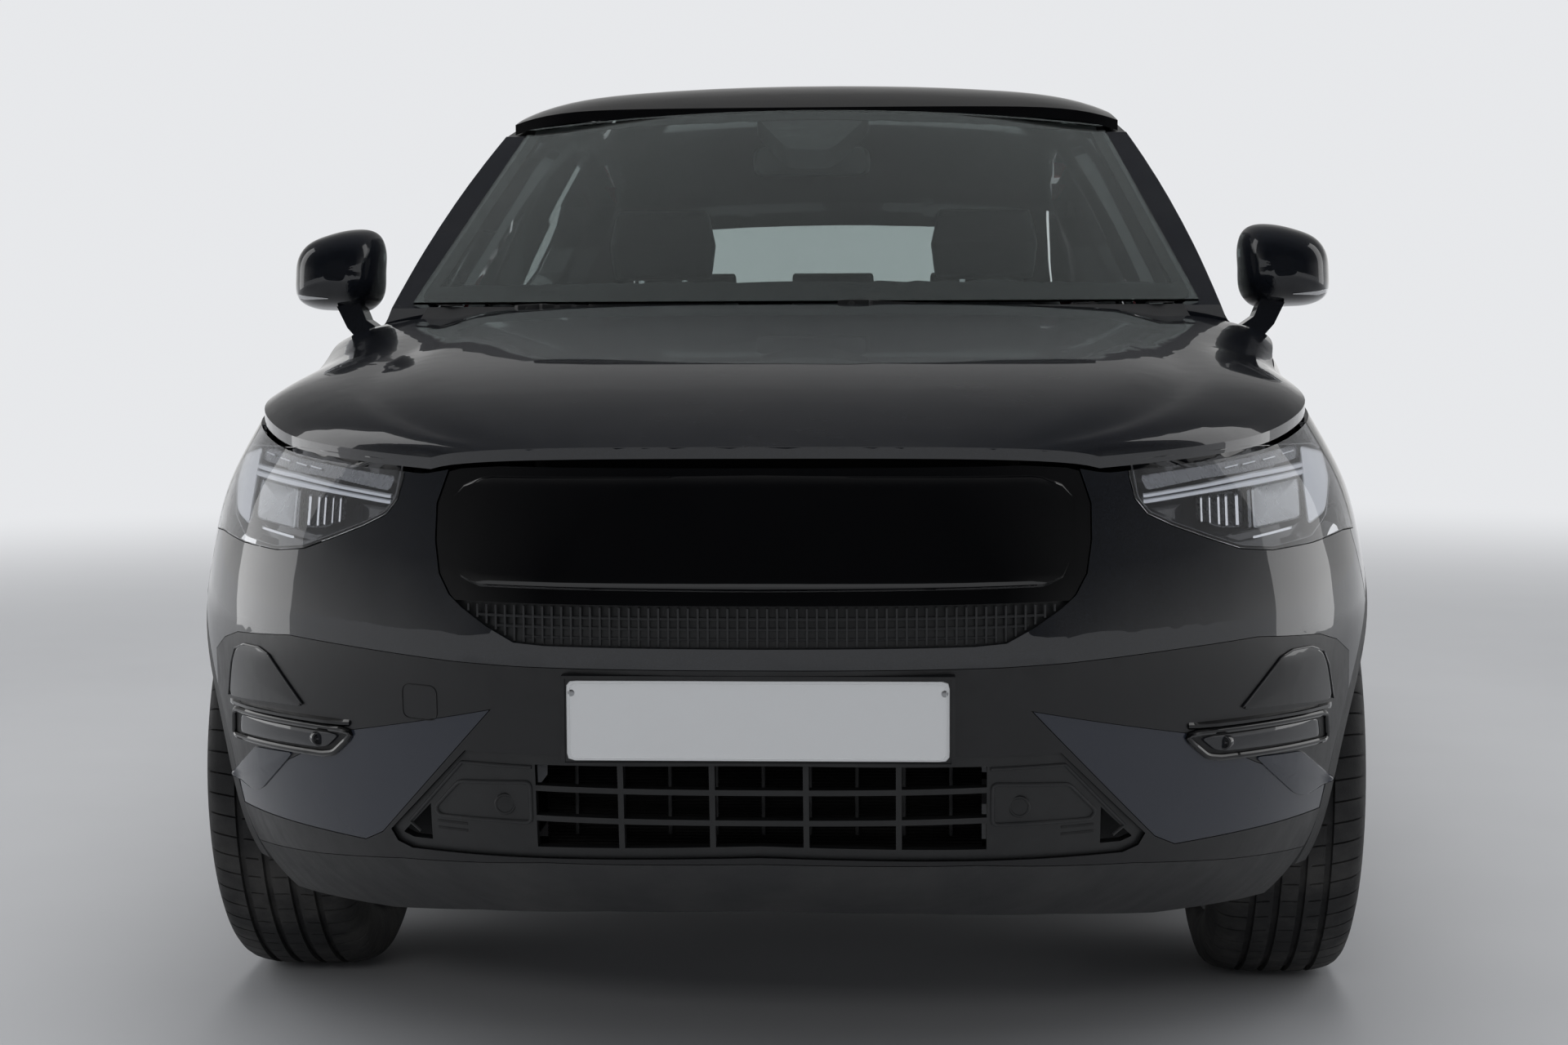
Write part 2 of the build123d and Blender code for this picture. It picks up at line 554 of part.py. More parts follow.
def deck_strip():
    """Strip that rolls over from the side wall and tail lamp to the tailgate's edge."""
    curves = gate_curves(GATE)
    over, under = [], []
    for v in np.linspace(.018, .63, 25):
        x, y, z = gate_point(curves, 1, v)
        x += SHUT
        foot = float(DECK_Z(y)) + SEAT
        edge, low = tail_x(y, foot + DECK_T), tail_x(y, foot)
        t = np.linspace(0, math.pi / 2, 9)
        over.append([(edge + (x - edge) * (1 - math.cos(a)), y, foot + DECK_T + (z - foot - DECK_T) * math.sin(a))
                     for a in t])
        under.append([(low + (x - low) * (1 - math.cos(a)), y, foot + (z - 20 - foot) * math.sin(a)) for a in t])
    return between(over, under)


def make_sides():
    skin = side_skin(-830, 1960, 235, 1560, 0, PILLAR_T, 46, 34)
    rail = [(y, float(ROOF(y)) - RAIL) for y in np.linspace(-165, ROOF_END, 15)]
    deck = [(y, float(DECK_Z(y))) for y in np.linspace(ROOF_END + 30, TAIL_Y, 9)]
    outline = [(-770, 1050), (-774, 1108), (-190, 1468)] + rail + deck + [(TAIL_Y, 235), (-770, 235)]
    outer = skin & along_x(outline, 300, 1200)
    outer = outer - along_x(grown(FRONT_DOOR, SHUT), 300, 1200) - along_x(grown(REAR_DOOR, SHUT), 300, 1200)
    outer = outer - arch(REAR_AXLE, TYRE_R_REAR, ARCH_CUT) - block(300, 1200, -900, 1000, 0, SILL_Z - SHUT)
    outer = outer - block(300, 1200, 1600, 2400, 0, BUMPER_TOP)
    inner = side_skin(-860, 1290, 225, 1545, FRAME_IN, FRAME_T, 44, 34)
    inner = inner & along_x([(-858, 228), (-858, 960), (-836, 1010), (-800, 1038), (-752, 1052), (-738, 1100),
                             (-185, 1452)] +
                            [(y, float(ROOF(y)) - RAIL - 25) for y in np.linspace(-120, 1050, 10)] +
                            [(1170, 1335), (1170, 800), (930, 228)], 300, 1200)
    inner = inner - along_x(grown(FRONT_DOOR, -34), 300, 1200) - along_x(grown(REAR_DOOR, -34), 300, 1200)
    inner = inner - arch(REAR_AXLE, TYRE_R_REAR, LINER_R + LINER_T + SEAT)
    hinge_relief = side_skin(-870, -690, 320, 1000, FRAME_IN - 4, 12, 8, 12)
    inner = inner - hinge_relief
    x, y, z = BONNET_HINGE
    inner = inner + rod((x - 60, y, z), (x + 6.5, y, z), HINGE_PIN_R)
    sill = block(FLOOR_HALF + SEAT, 800, -858, 900, 238, 330)
    corner = tail_skin(0, 14, BUMPER_TOP)
    corner = corner & along_x([(TAIL_Y + SEAT, 500), (TAIL_Y + SEAT, 1300), (2400, 1300), (2400, 500)], 0, 1200)
    corner = corner - block(-1200, 0, 1000, 2400, 0, 1300)
    gate = along_y([(0, 500), (600 + SHUT, 500), (600 + SHUT, 705), (LAMP_X, 705), (LAMP_X, 1200), (0, 1200)],
                   1500, 2400)
    corner = corner - gate - along_y(TAIL_LAMP, 1500, 2400)
    corner = corner - arch(REAR_AXLE, TYRE_R_REAR, ARCH_CUT)
    frame = inner + sill
    for edge in (DOOR_Y, R0):
        for z in HINGES:
            frame = frame + door_hinge(edge, z)
    pair("body_sides", largest(outer), largest(corner), deck_strip())
    pair("door_frames", largest(frame))


def door_handle(y0, y1, z):
    """Strap handle on two feet, standing off the door's skin."""
    x0, x1, mid = side_x(y0, z), side_x(y1, z), side_x((y0 + y1) / 2, z)
    y = (y0 + y1) / 2
    strap = [(x0 - 4, y0), (x0 + 24, y0 + 8), (mid + 31, y - 40), (mid + 31, y + 40), (x1 + 24, y1 - 8),
             (x1 - 4, y1), (x1 - 4, y1 - 26), (x1 + 12, y1 - 32), (mid + 20, y + 36), (mid + 20, y - 36),
             (x0 + 12, y0 + 32), (x0 - 4, y0 + 26)]
    return along_z(strap, z - 13, z + 13, 3)


def make_doors():
    skin = side_skin(-830, 1240, 280, 1540, 0, DOOR_T, 44, 34)
    for name, outline, window, edge, low, top in (("front", FRONT_DOOR, FRONT_WINDOW, DOOR_Y, SILL_Z - 30, 1550),
                                                  ("rear", REAR_DOOR, REAR_WINDOW, R0, 600, 1440)):
        back = max(y for y, z in outline)
        body = [(y - LIP_W if y > back - 120 and z > 700 or y == back else y, z) for y, z in outline]
        rim = side_skin(back - 180, back + 60, low, top, LIP_T, DOOR_T, 14, 34) - along_x(body, 200, 1300)
        door = (skin & along_x(outline, 300, 1200)) - rim
        door = door - along_x(window, 300, 1200, 16)
        x = hinge_x(edge)
        door = door - along_z([(x - 200, edge - 5), (x, edge - 5), (x, edge), (x - 56, edge + 54),
                               (x - 60, edge + 60), (x - 200, edge + 60)], 200, 1030)
        for z in HINGES:
            door = door - door_pocket(edge, z)
        y0, y1 = window[0][0] - 10, max(p[0] for p in window) + 10
        glass = side_skin(y0, y1, 1070, 1470, 9, GLASS_T, 16, 12) & along_x(grown(window, -SEAT), 300, 1200, 16)
        door = door + door_handle(back - 215, back - 45, 905)
        two(f"door_{name}", largest(door))
        two(f"glass_{name}", largest(glass))


def make_roof():
    us, vs = np.linspace(-1, 1, 33), np.linspace(0, 1, 21)
    face = surface([[roof_point(u, v) for u in us] for v in vs])
    x, y, z = GATE_HINGE
    lug = along_x([(y - 50, z - 12), (y - 50, z - 1), (y - 8, z + 5), (y + 4, z + 4), (y + 4, z - 5),
                   (y - 8, z - 6)], x - 12, x + 12)
    lug = lug + rod((x - 26, y, z), (x + 26, y, z), HINGE_PIN_R)
    panel = extrude(face, ROOF_T, dir=(0, 0, -1)).solid()
    node("roof_panel", fuse(panel, lug, flip(lug)))


def make_windscreen():
    rows = [[windscreen_point(u, v) for u in np.linspace(-1, 1, 17)] for v in np.linspace(0, 1, 11)]
    node("windscreen", slab(rows, 0, GLASS_T, (0, 0, 1000)))
    ledge = []
    for u in np.linspace(-1, 1, 21):
        fx, fy, fz = bonnet_point(u * .86, 1)
        rx, ry, rz = windscreen_point(u * .96, 0)
        ledge.append(((fx, fy + 8, fz - 22), (rx, ry - 1, rz - 9)))
    rows = []
    for t in np.linspace(0, 1, 6):
        sag = np.array([0, 0, 6 * math.sin(math.pi * t)])
        rows.append([tuple(np.array(a) * (1 - t) + np.array(b) * t - sag) for a, b in ledge])
    tray = slab(rows, 0, 4, (0, -800, 0))
    foot = FLOOR_Z + FLOOR_T + SEAT
    rows = []
    for t in np.linspace(0, 1, 15):
        lean = float(smooth(.8, 1, t))
        rows.append([(a[0] * (.975 - .1 * lean), DASH_WALL + (a[1] + 14 - DASH_WALL) * lean,
                      foot + (a[2] - 2 - foot) * t) for a, b in ledge])
    bulkhead = slab(rows, 0, 10, (0, 0, 700))
    x, y, z = ledge[10][0]
    bracket = block(-40, 40, y + 6, y + 22, z - 14, z + 3)
    node("cowl", largest(fuse(tray, bulkhead, bracket)))


def make_tailgate():
    shell = between(gate_rows(GATE), gate_rows(GATE_IN))
    x, y, z = GATE_HINGE
    front = [(1300, 1200), (GATE_FRONT, 1200), (GATE_FRONT, z), (GATE_FRONT + 8, z + 20), (GATE_FRONT + 8, 1500),
             (1300, 1500)]
    shell = shell - along_x(front, -700, 700)
    pocket = block(x - 17, x + 17, 1400, y + 16, z - 60, z + 60)
    pocket = pocket + rod((x - 27, y, z), (x + 27, y, z), HINGE_PIN_R + SEAT)
    shell = shell - pocket - flip(pocket)
    corners = [(-450, 1545), (450, 1545), (525, 1925), (-525, 1925)]
    node("tailgate", largest(shell - along_z(corners, 1120, 1500, 30)))
    pane = slab(gate_rows(GATE)[2:26], 5, 5, (0, 1700, 800))
    node("tailgate_glass", largest(pane & along_z(grown(corners, -SEAT), 1100, 1500, 30)))


def make_tail():
    skin = tail_skin(0, SKIN, 215, BUMPER_TOP + 2, 1560) & block(-1200, 1200, 1600, 2400, 225, BUMPER_TOP - SEAT)
    wheel = arch(REAR_AXLE, TYRE_R_REAR, ARCH_CUT)
    skin = skin - wheel - flip(wheel)
    node("rear_bumper", largest(skin & block(-1200, 1200, 1600, 2400, 400, 1000)))
    node("rear_skirt", largest(skin & block(-1200, 1200, 1600, 2400, 225, 399)))
    lamp = tail_skin(0, 14, BUMPER_TOP) & along_y(grown(TAIL_LAMP, -2 * SEAT), TAIL_Y + 2 * SEAT, 2400)
    pair("tail_lamps", largest(lamp))


# ---------------------------------------------------------------- floor, battery and running gear
def mirrored(x0, x1, y0, y1, z0, z1, radius=0):
    """The same box on the left and on the right."""
    return [block(x0, x1, y0, y1, z0, z1, radius), block(-x1, -x0, y0, y1, z0, z1, radius)]


def make_floor():
    top = BOOT_Z + FLOOR_T
    sheet = block(-FLOOR_HALF, FLOOR_HALF, DASH_WALL - 15, 900, FLOOR_Z, FLOOR_Z + FLOOR_T)
    rear = block(-620, 620, 890, BOOT_Y + 20, FLOOR_Z, FLOOR_Z + FLOOR_T)
    step = block(-620, 620, BOOT_Y, BOOT_Y + 20, FLOOR_Z, top)
    boot = block(-620, 620, BOOT_Y, 2090, BOOT_Z, top)
    rails = mirrored(400, 460, -2060, DASH_WALL - SEAT, 500, 600)
    rails += mirrored(400, 460, DASH_WALL - 37, DASH_WALL - SEAT, FLOOR_Z, 600)
    rails += mirrored(440, 510, BOOT_Y + 10, 2090, BOOT_Z - 90, BOOT_Z + 6)
    ends = [block(-462, 462, -2088, -2040, 500, 610, 12), block(-500, 500, 2072, 2118, 480, 570, 12)]
    node("floor_pan", largest(fuse(sheet, rear, step, boot, *rails, *ends)))
    node("battery_pack", block(-610, 610, -820, 880, 176, FLOOR_Z - SEAT, 40))


def suspension(axle, x_ball, inner_x, half):
    """Subframe across the car, with a lower arm out to each wheel carrier."""
    rails = mirrored(inner_x, inner_x + 60, axle - half, axle + half, 215, 270, 20)
    cross = [block(-inner_x - 30, inner_x + 30, axle + y - 35, axle + y + 35, 220, 265)
             for y in (-half + 60, half - 60)]
    arm = along_z([(inner_x + 40, axle - half + 30), (inner_x + 40, axle + half - 30), (x_ball - 20, axle + 26),
                   (x_ball, axle + 18), (x_ball, axle - 18), (x_ball - 20, axle - 26)],
                  BALL_Z - ARM_T / 2, BALL_Z + ARM_T / 2)
    gap = along_z([(inner_x + 80, axle - half + 90), (inner_x + 80, axle + half - 90), (x_ball - 80, axle)],
                  100, 400, 12)
    arm = arm - gap
    return fuse(rails[0], rails[1], *cross, arm, flip(arm))


def axle_rod(x0, x1, radius, y=REAR_AXLE, z=TYRE_R_REAR):
    """Round bar on a wheel's axis."""
    return rod((x0, y, z), (x1, y, z), radius)


def make_suspension():
    legs = mirrored(405, 455, FRONT_AXLE + 300, FRONT_AXLE + 350, 260, 500 - SEAT)
    legs += mirrored(405, 455, FRONT_AXLE - 350, FRONT_AXLE - 300, 260, 500 - SEAT)
    front = suspension(FRONT_AXLE, BALL_X, 390, 350)
    y0, y1, top = FRONT_AXLE - 75, FRONT_AXLE + 75, KINGPIN_TOP[1] + 1
    tower = block(465, 640, y0, y1, top, top + 12) + block(460 + SEAT, TOWER_WALL, y0, y1, 520, top + 12)
    node("front_suspension", fuse(front, *legs), tower, flip(tower))
    legs = mirrored(440, 510, REAR_AXLE - 340, REAR_AXLE - 290, 260, BOOT_Z - 90 - SEAT)
    legs += mirrored(440, 510, REAR_AXLE + 290, REAR_AXLE + 340, 260, BOOT_Z - 90 - SEAT)
    rear = suspension(REAR_AXLE, 700, 430, 340)
    carrier = fuse(block(690, 740, REAR_AXLE - 45, REAR_AXLE + 45, BALL_Z - 4, 470, 8), axle_rod(700, 730, 70),
                   axle_rod(742, 754, 150), axle_rod(735, 760, 60), axle_rod(735, HUB_X + 20, STUB_R))
    node("rear_suspension", fuse(rear, *legs, carrier, flip(carrier)))
    units = []
    for axle, half, top in ((FRONT_AXLE, 300, 560), (REAR_AXLE, 280, 440)):
        unit = block(-half, half, axle - 175, axle + 175, 265 + SEAT, top, 60)
        plate = block(-half + 40, half - 40, axle - 305, axle + 305, 265 + SEAT, 290, 20)
        units.append(unit + plate)
    node("drive_units", *units)


def make_knuckles():
    z = TYRE_R_FRONT
    upright = along_y([(CARRIER_X - 32, BALL_Z + 26), (CARRIER_X + 3, BALL_Z + 26), (CARRIER_X + 10, z + 90),
                       (620, 560), (580, 560), (600, 520), (CARRIER_X - 40, z + 40)],
                      FRONT_AXLE - 35, FRONT_AXLE + 35)
    hub = rod((CARRIER_X - 20, FRONT_AXLE, z), (CARRIER_X + 10, FRONT_AXLE, z), 75)
    disc = rod((742, FRONT_AXLE, z), (758, FRONT_AXLE, z), 165)
    flange = rod((730, FRONT_AXLE, z), (764, FRONT_AXLE, z), 65)
    stub = rod((735, FRONT_AXLE, z), (HUB_X + 20, FRONT_AXLE, z), STUB_R)
    caliper = along_x([(FRONT_AXLE + 110, z - 60), (FRONT_AXLE + 185, z - 70), (FRONT_AXLE + 185, z + 70),
                       (FRONT_AXLE + 110, z + 60)], 718, 776, 12)
    ball = Pos(BALL_X, FRONT_AXLE, BALL_Z + ARM_T / 2 + SEAT + BALL_R) * Sphere(BALL_R)
    cup = Pos(KINGPIN_TOP[0], FRONT_AXLE, KINGPIN_TOP[1] + 1 - SEAT - CUP_R) * Sphere(CUP_R)
    strut = rod((600, FRONT_AXLE, 540), (KINGPIN_TOP[0], FRONT_AXLE, KINGPIN_TOP[1] - 22), 26) + ball + cup
    lever = along_z([(700, FRONT_AXLE + 30), (690, FRONT_AXLE + 130), (670, FRONT_AXLE + 130),
                     (675, FRONT_AXLE + 20)], 300, 322)
    two("knuckle", fuse(upright, hub, disc, flange, stub, caliper, strut, lever))


def wheel_profile(points, x, y, z):
    """Turn a profile of (x, radius) points about the wheel's axle."""
    face = Face(Wire.make_polygon([Vector(px, y, z + r) for px, r in points], close=True))
    return revolve(face, Axis((0, y, z), (1, 0, 0)), 360).solid()


def make_wheels():
    for place, y, radius, width in (("front", FRONT_AXLE, TYRE_R_FRONT, TYRE_W_FRONT),
                                    ("rear", REAR_AXLE, TYRE_R_REAR, TYRE_W_REAR)):
        h = width / 2
        bead = RIM_R + SEAT
        section = [(-h + 22, bead), (-h + 22, RIM_R + 18), (-h + 8, RIM_R + 27), (-h + 1, RIM_R + 48),
                   (-h, RIM_R + 62), (-h + 6, radius - 30), (-h + 16, radius - 14), (-h + 36, radius - 5),
                   (-h + 60, radius - 1), (0, radius)]
        section = section + [(-x, r) for x, r in reversed(section[:-1])]
        inside = [(h - 36, bead), (h - 34, RIM_R + 20), (h - 13, RIM_R + 52), (h - 22, radius - 24),
                  (0, radius - 14), (-h + 22, radius - 24), (-h + 13, RIM_R + 52), (-h + 34, RIM_R + 20),
                  (-h + 36, bead)]
        tyre = wheel_profile([(WHEEL_X + px, r) for px, r in section + inside], WHEEL_X, y, radius)
        w = h - 22 + SEAT
        barrel = [(w + 7, RIM_R + 17), (w, RIM_R + 17), (w, RIM_R), (-w, RIM_R), (-w, RIM_R + 17),
                  (-w - 7, RIM_R + 17), (-w - 7, RIM_R - 8), (w - 40, RIM_R - 14), (w + 7, RIM_R - 8)]
        rim = wheel_profile([(WHEEL_X + px, r) for px, r in barrel], WHEEL_X, y, radius)
        face_x = WHEEL_X + h - 34
        disc = wheel_profile([(face_x - 22, 30 + SEAT), (face_x - 4, 30 + SEAT), (face_x + 2, 70),
                              (face_x + 4, RIM_R - 10), (face_x - 22, RIM_R - 10), (face_x - 30, 90), (HUB_X, 80),
                              (HUB_X, STUB_R + SEAT), (face_x - 22, STUB_R + SEAT)], WHEEL_X, y, radius)
        for k in range(5):
            a = 2 * math.pi * k / 5
            hole = []
            for r, half_angle in ((105, .16), (222, .42), (222, -.42), (105, -.16)):
                hole.append((y + r * math.sin(a + half_angle), radius + r * math.cos(a + half_angle)))
            disc = disc - along_x(hole, face_x - 60, face_x + 40, 10)
        two(f"tyre_{place}", tyre)
        two(f"rim_{place}", fuse(rim, disc))


# ---------------------------------------------------------------- wheel housings and black cladding
def make_liners():
    out = []
    for y, r, x0 in ((FRONT_AXLE, TYRE_R_FRONT, TOWER_WALL + SEAT), (REAR_AXLE, TYRE_R_REAR, 645)):
        ring = rod((x0, y, r), (1000, y, r), LINER_R + LINER_T) - rod((x0 - 10, y, r), (1010, y, r), LINER_R)
        ring = ring & block(x0, 1000, y - 500, y + 500, 262, 900)
        ring = ring - block(540, 672, FRONT_AXLE - 62, FRONT_AXLE + 62, 700, 900, 20)
        stations = np.linspace(y - 430, y + 430, 13)
        edge = [(min(half_width(t, z) for z in (260, 500, 760)) - LINER_IN, t) for t in stations]
        out.append(ring & along_z([(x0, y - 430)] + edge + [(x0, y + 430)], 200, 900))
    pair("arch_liners", *[largest(o) for o in out])


def make_cladding():
    pieces = []
    for y, r in ((FRONT_AXLE, TYRE_R_FRONT), (REAR_AXLE, TYRE_R_REAR)):
        ring = rod((300, y, r), (1200, y, r), ARCH_CUT - SEAT) - rod((300, y, r), (1200, y, r), ARCH_R)
        ring = ring & block(300, 1200, y - 500, y + 500, 262, 900)
        strip = side_skin(y - 440, y + 440, 240, 800, 0, 20, 24, 16)
        pieces.append(largest(strip & ring))
    sill = side_skin(FRONT_AXLE + ARCH_CUT + 4, REAR_AXLE - ARCH_CUT - 4, 200, SILL_Z, 2, 16, 30, 8)
    sill = largest(sill & block(300, 1200, -1200, 1200, 150, SILL_Z - SHUT - SEAT))
    pair("side_cladding", *pieces, sill)


# ---------------------------------------------------------------- cabin
def make_cabin():
    profile = [(-800, 700), (-800, 1040), (-760, 1066), (-560, 1050), (-500, 1010), (-480, 900), (-520, 760),
               (-600, 690)]
    dash = along_x(profile, -655, 655)
    console = block(-115, 115, -600, 260, FLOOR_Z + FLOOR_T + SEAT, 600, 20)
    mount = block(-80, 80, DASH_WALL + 12, -560, 590, 720)
    column = rod(tuple(WHEEL_HUB - STEER_AXIS * 30), tuple(WHEEL_HUB - STEER_AXIS * 190), 32)
    stub = rod(tuple(WHEEL_HUB + STEER_AXIS * 12), tuple(WHEEL_HUB - STEER_AXIS * 100), 12)
    node("dashboard", fuse(dash, console, mount, column, stub))
    plane = Plane(origin=tuple(WHEEL_HUB), z_dir=tuple(STEER_AXIS))
    ring = plane * Torus(178, 14)
    hub = plane * (Cylinder(62, 24) - Pos(0, 0, -3) * Cylinder(12 + SEAT, 30))
    spokes = [plane * (Pos(x, y, 0) * Box(w, h, 14))
              for x, y, w, h in ((-115, 0, 130, 26), (115, 0, 130, 26), (0, -115, 30, 130))]
    rim = fuse(ring, *spokes)
    rim = rim - plane * (Pos(0, 0, -3) * Cylinder(12 + SEAT, 30))
    node("steering_wheel", largest(rim + hub))
    seats = []
    for x in (370, -370):
        base = along_x([(-330, 330), (170, 330), (170, 500), (-330, 520)], x - 190, x + 190, 30)
        squab = along_x([(-350, 520), (170, 480), (190, 570), (-340, 640)], x - 255, x + 255, 25)
        back = along_x([(130, 560), (250, 1150), (350, 1150), (290, 560)], x - 250, x + 250, 30)
        head = along_x([(250, 1140), (265, 1330), (335, 1335), (340, 1140)], x - 120, x + 120, 25)
        rails = [block(x + a, x + a + 40, -330, 170, FLOOR_Z + FLOOR_T + SEAT, 340) for a in (-200, 160)]
        seats.append(largest(fuse(base, squab, back, head, *rails)))
    node("front_seats", *seats)
    bench = along_x([(470, 400), (975, 400), (975, 540), (490, 585)], -610, 610, 25)
    legs = block(-590, 590, 520, BOOT_Y - SEAT, FLOOR_Z + FLOOR_T + SEAT, 410)
    back = along_x([(850, 520), (975, 1060), (1050, 1060), (1005, 700), (BOOT_Y - SEAT, 590), (975, 520)],
                   -610, 610, 20)
    heads = [along_x([(955, 1050), (970, 1190), (1035, 1195), (1045, 1050)], x - w, x + w, 20)
             for x, w in ((-370, 125), (0, 110), (370, 125))]
    node("rear_seat", largest(fuse(bench, legs, back, *heads)))
    tub = block(-370, 370, -1760, -1000, 640, 960, 40) - block(-350, 350, -1740, -1020, 655, 1000, 30)
    feet = block(-420, 420, -1500, -1300, 625, 642)
    posts = mirrored(405, 455, -1500, -1300, 600 + SEAT, 642)
    node("front_trunk", largest(fuse(tub, feet, *posts)))


# Mirror housing seen from the front, and its sections from the glass side forwards: station, share of the outline.
MIRROR = [(846, 1236), (862, 1258), (900, 1264), (955, 1253), (996, 1233), (1014, 1205), (1019, 1165), (1014, 1125),
          (985, 1108), (930, 1103), (872, 1106), (850, 1130), (844, 1180)]
MIRROR_DEPTH = ((-520, .97), (-532, 1), (-575, .97), (-610, .88), (-636, .72), (-650, .5), (-655, .25))


def make_mirrors():
    cx, cz = np.mean(MIRROR, axis=0)
    cx = cx - 12
    wires = []
    for y, share in MIRROR_DEPTH:
        ring = [Vector(cx + (x - cx) * share, y, cz + (z - cz) * share) for x, z in MIRROR]
        wires.append(Wire([Edge.make_spline(ring, periodic=True)]))
    shell = Solid.make_loft(wires)
    arm = along_y([(843.4, 1046), (884, 1046), (905, 1070), (925, 1112), (880, 1120), (866, 1085), (842, 1068)],
                  -622, -560)
    two("mirror", largest(shell + arm))


if __name__ == "__main__":
    for make in (make_nose, make_grilles, make_bonnet, make_wings, make_sides, make_doors, make_roof,
                 make_windscreen, make_tailgate, make_tail, make_floor, make_suspension, make_knuckles,
                 make_wheels, make_liners, make_cladding, make_cabin, make_mirrors):
        make()
    os.makedirs("parts", exist_ok=True)
    for name, shape in NODES.items():
        export_step(shape, f"parts/{name}.step")
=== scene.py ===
"""Looks of the electric crossover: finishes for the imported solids, and the tread, lamps, grilles,
trim, seats and glazing details that ride on them. Metres, +X to the car's left, -Y to the front.
"""
import json
import math
import bpy
import numpy as np
from mathutils import Matrix, Vector
from mathutils.bvhtree import BVHTree


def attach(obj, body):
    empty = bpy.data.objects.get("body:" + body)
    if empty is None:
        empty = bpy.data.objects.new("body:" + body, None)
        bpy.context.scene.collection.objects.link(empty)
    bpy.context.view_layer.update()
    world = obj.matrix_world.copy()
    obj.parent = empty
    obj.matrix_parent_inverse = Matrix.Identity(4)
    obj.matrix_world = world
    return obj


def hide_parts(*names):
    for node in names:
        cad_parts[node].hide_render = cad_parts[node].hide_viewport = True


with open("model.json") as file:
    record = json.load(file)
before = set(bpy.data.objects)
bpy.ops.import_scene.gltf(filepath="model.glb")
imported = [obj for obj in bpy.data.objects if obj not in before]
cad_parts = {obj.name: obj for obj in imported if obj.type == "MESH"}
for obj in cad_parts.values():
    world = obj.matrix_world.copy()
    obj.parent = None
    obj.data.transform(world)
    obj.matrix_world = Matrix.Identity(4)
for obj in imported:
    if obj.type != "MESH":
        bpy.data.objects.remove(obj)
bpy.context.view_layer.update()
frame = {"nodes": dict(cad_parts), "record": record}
NODES = frame["nodes"]
TAU = 2 * math.pi
SIDES = (("left", 1), ("right", -1))

# Driving sizes and places, all in metres
WHEEL_X = .795                   # middle of each tyre
WHEELS = (("front", -1.348, .358, .1175), ("rear", 1.354, .356, .125))  # axle, radius, half of the width
WHEEL_NUTS, NUT_CIRCLE = 5, .057
TREAD_PITCHES, GROOVE, SIPE = 66, .0075, .0045
PLATE_HALF = (.2585, .0545)      # number plate, half its width and height
RADIATOR_TEETH = 34
CAMERA_PLACE, CAMERA_LENS = (.213, -5.62, 1.12), 58.69
CAMERA_YAW, CAMERA_PITCH, CAMERA_ROLL = 2.96, -4.97, -.27
BACKGROUND = (.80, .81, .83)
FLOOR_FADE = (2.9, 9.0)          # distances between which the floor turns into the background


# ---------------------------------------------------------------- node trees
class Net:
    """Short way to write a node tree: add(kind, Socket=value or socket, property=value)."""

    def __init__(self, tree):
        self.tree = tree

    def add(self, kind, **given):
        node = self.tree.nodes.new("ShaderNode" + kind)
        for key, value in given.items():
            if hasattr(node, key):
                setattr(node, key, value)
                continue
            name = key.replace("_", " ")
            socket = node.inputs[int(name[1:])] if name[1:].isdigit() else node.inputs[name]
            self.feed(socket, value)
        return node

    def feed(self, socket, value):
        if isinstance(value, bpy.types.NodeSocket):
            self.tree.links.new(value, socket)
        else:
            socket.default_value = value

    def math(self, operation, a, b=0.0, clamp=False):
        node = self.add("Math", operation=operation, use_clamp=clamp)
        self.feed(node.inputs[0], a)
        self.feed(node.inputs[1], b)
        return node.outputs[0]

    def ramp(self, value, *stops):
        """Colour ramp through (place, grey or colour) stops."""
        node = self.add("ValToRGB", Fac=value)
        marks = node.color_ramp.elements
        while len(marks) < len(stops):
            marks.new(.5)
        for mark, (place, shade) in zip(marks, stops):
            mark.position = place
            mark.color = (*shade, 1) if isinstance(shade, tuple) else (shade, shade, shade, 1)
        return node.outputs[0]

    def blend(self, factor, a, b):
        node = self.add("Mix", data_type="RGBA")
        self.feed(node.inputs[0], factor)
        for socket, value in ((node.inputs[6], a), (node.inputs[7], b)):
            self.feed(socket, (*value, 1) if isinstance(value, tuple) else value)
        return node.outputs[2]

    def group(self, name, **given):
        node = self.tree.nodes.new("ShaderNodeGroup")
        node.node_tree = GROUPS[name]
        for key, value in given.items():
            self.feed(node.inputs[key], value)
        return node


GROUPS = {}


def new_group(name, inputs, outputs):
    """Empty shader node group with float inputs (and a Vector) and float outputs."""
    tree = bpy.data.node_groups.new(name, "ShaderNodeTree")
    tree.interface.new_socket("Vector", in_out="INPUT", socket_type="NodeSocketVector")
    for key, value in inputs.items():
        socket = tree.interface.new_socket(key, in_out="INPUT", socket_type="NodeSocketFloat")
        socket.default_value = value
    for key in outputs:
        tree.interface.new_socket(key, in_out="OUTPUT", socket_type="NodeSocketFloat")
    GROUPS[name] = tree
    net = Net(tree)
    return net, tree.nodes.new("NodeGroupInput"), tree.nodes.new("NodeGroupOutput")


